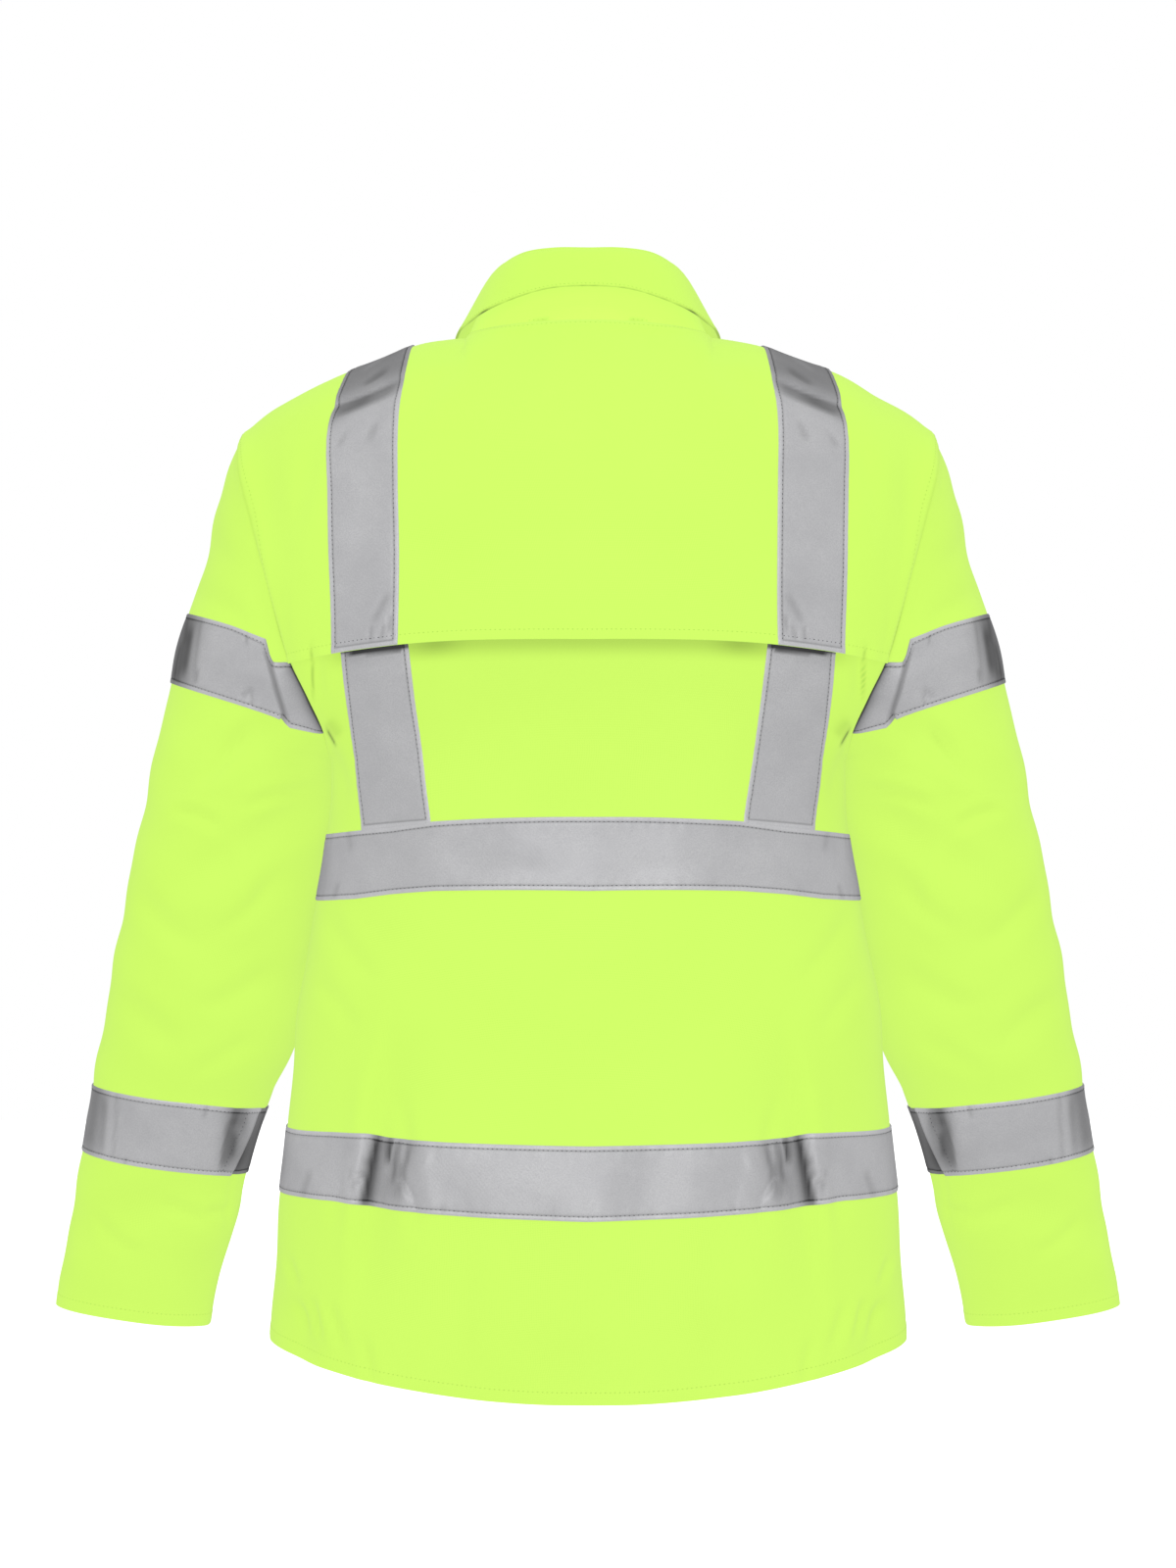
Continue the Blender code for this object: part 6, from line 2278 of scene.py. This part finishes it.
@dataclass(frozen=True)
class FrontZip:
    """The moulded zip between the fronts: two woven tapes, their teeth, and the metal slider."""

    pattern: Pattern
    tape_cut: Cut = Cut(0.0148, 0.68)
    pitch: float = 2.6 * MM
    tooth_reach: float = 1.0 * MM
    tooth_root: float = 3.2 * MM
    tooth_half_height: float = 0.85 * MM
    tooth_rise: float = 0.8 * MM
    tape_depth: float = 1.8 * MM
    tape_wall: float = 0.8 * MM
    end_inset: float = 1.2 * MM
    # Where the woven tape's columns are, from its toothed edge to the edge that is sewn in.
    tape_columns_mm: tuple[float, ...] = (0.0, 0.4, 1.0, 3.0, 6.0, 9.0, 12.0, 14.2, 15.0)

    def build(self) -> None:
        """Add both halves and finish the slider and its pull."""
        front = self.pattern.front
        centre = front.points[:, 0] * (0.0, 1.0, 1.0)
        out = unit(front.normals[:, 0] * (0.0, 1.0, 1.0))
        line = ClothLine(centre, out).trimmed(self.end_inset, self.end_inset)
        for side, sign in (("left", 1.0), ("right", -1.0)):
            tape = self._tape(line, sign)
            piece = add_piece(wall_mesh(f"zip_{side}_cloth", tape, self.tape_wall), Finish.ZIP_CLOTH)
            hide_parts("zip_" + side)
            teeth = add_piece(self._teeth(f"zip_{side}_teeth", line, sign), Finish.TEETH)
        for node in ("zip_slider", "zip_pull"):
            for material_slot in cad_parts[node].material_slots:
                material_slot.material = material_of(Finish.SLIDER)

    def _tape(self, line: ClothLine, sign: float) -> ClothGrid:
        """Return one woven tape behind its front's edge."""
        across = np.array(self.tape_columns_mm) * MM
        points = line.points[:, None] + np.array((1.0, 0.0, 0.0)) * (across * sign)[None, :, None]
        points = points - line.normals[:, None] * self.tape_depth
        if sign < 0:
            points = points[:, ::-1]
        return ClothGrid.from_points(
            points, np.arange(len(points), dtype=float), np.arange(len(across), dtype=float)
        )

    def _teeth(self, name: str, line: ClothLine, sign: float) -> Mesh:
        """Return one half's moulded teeth. Each is a tapered block with a waist behind its head."""
        number = int(line.reach()[-1] / self.pitch) - 1
        places = (np.arange(number) + (0.5 if sign > 0 else 1.0)) * self.pitch
        centre, out = line.at(places).points, line.at(places).normals
        up = unit(line.at(places + MM).points - line.at(places - MM).points)
        side = np.array((sign, 0.0, 0.0))
        profile = (
            (-self.tooth_reach, 0.55), (-self.tooth_reach * 0.4, 0.95), (0.9 * MM, 0.45),
            (1.6 * MM, 0.85), (self.tooth_root, 0.8),
        )
        points, faces = [], []
        for at in range(number):
            start = len(points)
            for offset, share in profile:
                for rise in (self.tooth_rise, -self.tape_depth):
                    taper = 0.8 if rise > 0 else 1.0
                    for end in (-1.0, 1.0):
                        height = end * self.tooth_half_height * share * taper
                        points.append(centre[at] + side * offset + out[at] * rise + up[at] * height)
            for step in range(len(profile) - 1):
                a = start + 4 * step
                b = a + 4
                faces += [(a, a + 1, b + 1, b), (a + 1, a + 3, b + 3, b + 1)]
                faces += [(a + 3, a + 2, b + 2, b + 3), (a + 2, a, b, b + 2)]
            last = start + 4 * (len(profile) - 1)
            faces += [(start, start + 2, start + 3, start + 1), (last, last + 1, last + 3, last + 2)]
        if sign < 0:
            faces = [face[::-1] for face in faces]
        return new_mesh(name, np.array(points), faces, TOOTH_SHARP_DEGREES)


# ---------------- studio
@dataclass(frozen=True)
class Studio:
    """A plain pale room: one wide soft light by the camera, a little from above, and a pale floor."""

    camera_distance: float = 2.62
    camera_height: float = -0.3316
    focal_mm: float = 80.36
    sensor_mm: float = 36.0
    floor_z: float = -1.45
    floor_half: float = 9.0
    backdrop: str = "#FFFFFF"
    floor_colour: str = "#F6F6F4"
    room_bright: float = 0.52
    room_dim: float = 0.04

    def build(self) -> None:
        """Add the camera, the lights, the floor and the world."""
        scene = bpy.context.scene
        scene.view_settings.view_transform = "Standard"
        data = bpy.data.cameras.new("main_camera")
        data.sensor_fit = "VERTICAL"
        data.sensor_height = self.sensor_mm
        data.lens = self.focal_mm
        data.dof.use_dof = False
        camera = bpy.data.objects.new("main_camera", data)
        camera.location = (0.0, self.camera_distance, self.camera_height)
        camera.rotation_euler = (math.radians(90), 0.0, math.radians(180))
        scene.collection.objects.link(camera)
        scene.camera = camera
        self._area("front_light", (0.2, 3.4, 0.25), (1.6, 2.4), 10.5)
        self._area("top_light", (-0.4, 1.3, 2.2), (0.9, 0.7), 4.6)
        self._area("fill_light", (0.4, -3.4, 1.0), (2.4, 2.0), 24.0)
        self._floor(scene)
        self._world(scene)

    def _area(
        self, name: str, place: tuple[float, float, float], size: tuple[float, float], power: float
    ) -> None:
        """Add one soft light that faces the jacket."""
        data = bpy.data.lights.new(name, "AREA")
        data.shape = "RECTANGLE"
        data.size, data.size_y = size
        data.energy = power
        light = bpy.data.objects.new(name, data)
        light.location = place
        aim = Vector((0.0, 0.0, self.camera_height)) - Vector(place)
        light.rotation_euler = aim.to_track_quat("-Z", "Y").to_euler()
        # Only the light by the camera shows in the tape, or its edges would flash white where they turn away.
        light.visible_glossy = name == "front_light"
        bpy.context.scene.collection.objects.link(light)

    def _floor(self, scene: bpy.types.Scene) -> None:
        """Add the floor far below the hem, so that it throws no shadow behind the jacket."""
        half = self.floor_half
        mesh = bpy.data.meshes.new("studio_floor")
        corners = [(-half, -half), (half, -half), (half, half), (-half, half)]
        mesh.from_pydata([(x, y, self.floor_z) for x, y in corners], [], [(0, 1, 2, 3)])
        material, shader = new_material("matt_painted_floor", {
            "Roughness": 0.9, "Emission Color": linear(self.backdrop), "Emission Strength": 0.90,
        })
        tree = material.node_tree
        place = add_node(tree, "ShaderNodeTexCoord")
        cloud = add_node(
            tree, "ShaderNodeTexNoise", {"Scale": 1.5, "Detail": 2.0}, {"Vector": place.outputs["Object"]}
        )
        tone = add_node(tree, "ShaderNodeMix", links={0: cloud.outputs["Fac"]}, data_type="RGBA")
        tone.inputs[6].default_value = linear(self.floor_colour)
        tone.inputs[7].default_value = linear(self.backdrop)
        tree.links.new(tone.outputs[2], shader.inputs["Base Color"])
        mesh.materials.append(material)
        floor = bpy.data.objects.new("studio_floor", mesh)
        scene.collection.objects.link(floor)
        # It is white to the eye but throws no light up under the folds.
        floor.visible_diffuse = False
        floor.visible_glossy = False

    def _world(self, scene: bpy.types.Scene) -> None:
        """Make the room white to the eye. As a light it is bright behind the camera and dim elsewhere."""
        world = bpy.data.worlds.new("studio_room")
        world.use_nodes = True
        tree = world.node_tree
        tree.nodes.clear()
        place = add_node(tree, "ShaderNodeTexCoord")
        way = add_node(tree, "ShaderNodeSeparateXYZ", links={"Vector": place.outputs["Generated"]})
        strength = add_node(
            tree, "ShaderNodeMapRange",
            {"From Min": -1.0, "From Max": -0.62, "To Min": self.room_dim, "To Max": self.room_bright},
            {"Value": way.outputs["Y"]}, interpolation_type="SMOOTHSTEP",
        )
        path = add_node(tree, "ShaderNodeLightPath")
        seen = add_node(tree, "ShaderNodeBackground", {"Color": linear(self.backdrop), "Strength": 1.0})
        glow = add_node(
            tree, "ShaderNodeBackground", {"Color": linear(self.backdrop)},
            {"Strength": strength.outputs["Result"]},
        )
        both = add_node(
            tree, "ShaderNodeMixShader",
            links={0: path.outputs["Is Camera Ray"], 1: glow.outputs[0], 2: seen.outputs[0]},
        )
        add_node(tree, "ShaderNodeOutputWorld", links={"Surface": both.outputs[0]})
        scene.world = world


# ---------------- assembly
def main() -> None:
    """Build the whole jacket and its studio."""
    logging.basicConfig(level=logging.INFO)
    pattern = Pattern()
    Body(pattern).build()
    Cape(pattern).build()
    BodyTapes(pattern).build()
    Sleeves(pattern).build()
    Collar(pattern).build()
    FrontZip(pattern).build()
    Studio().build()


if __name__ == "__main__":
    main()
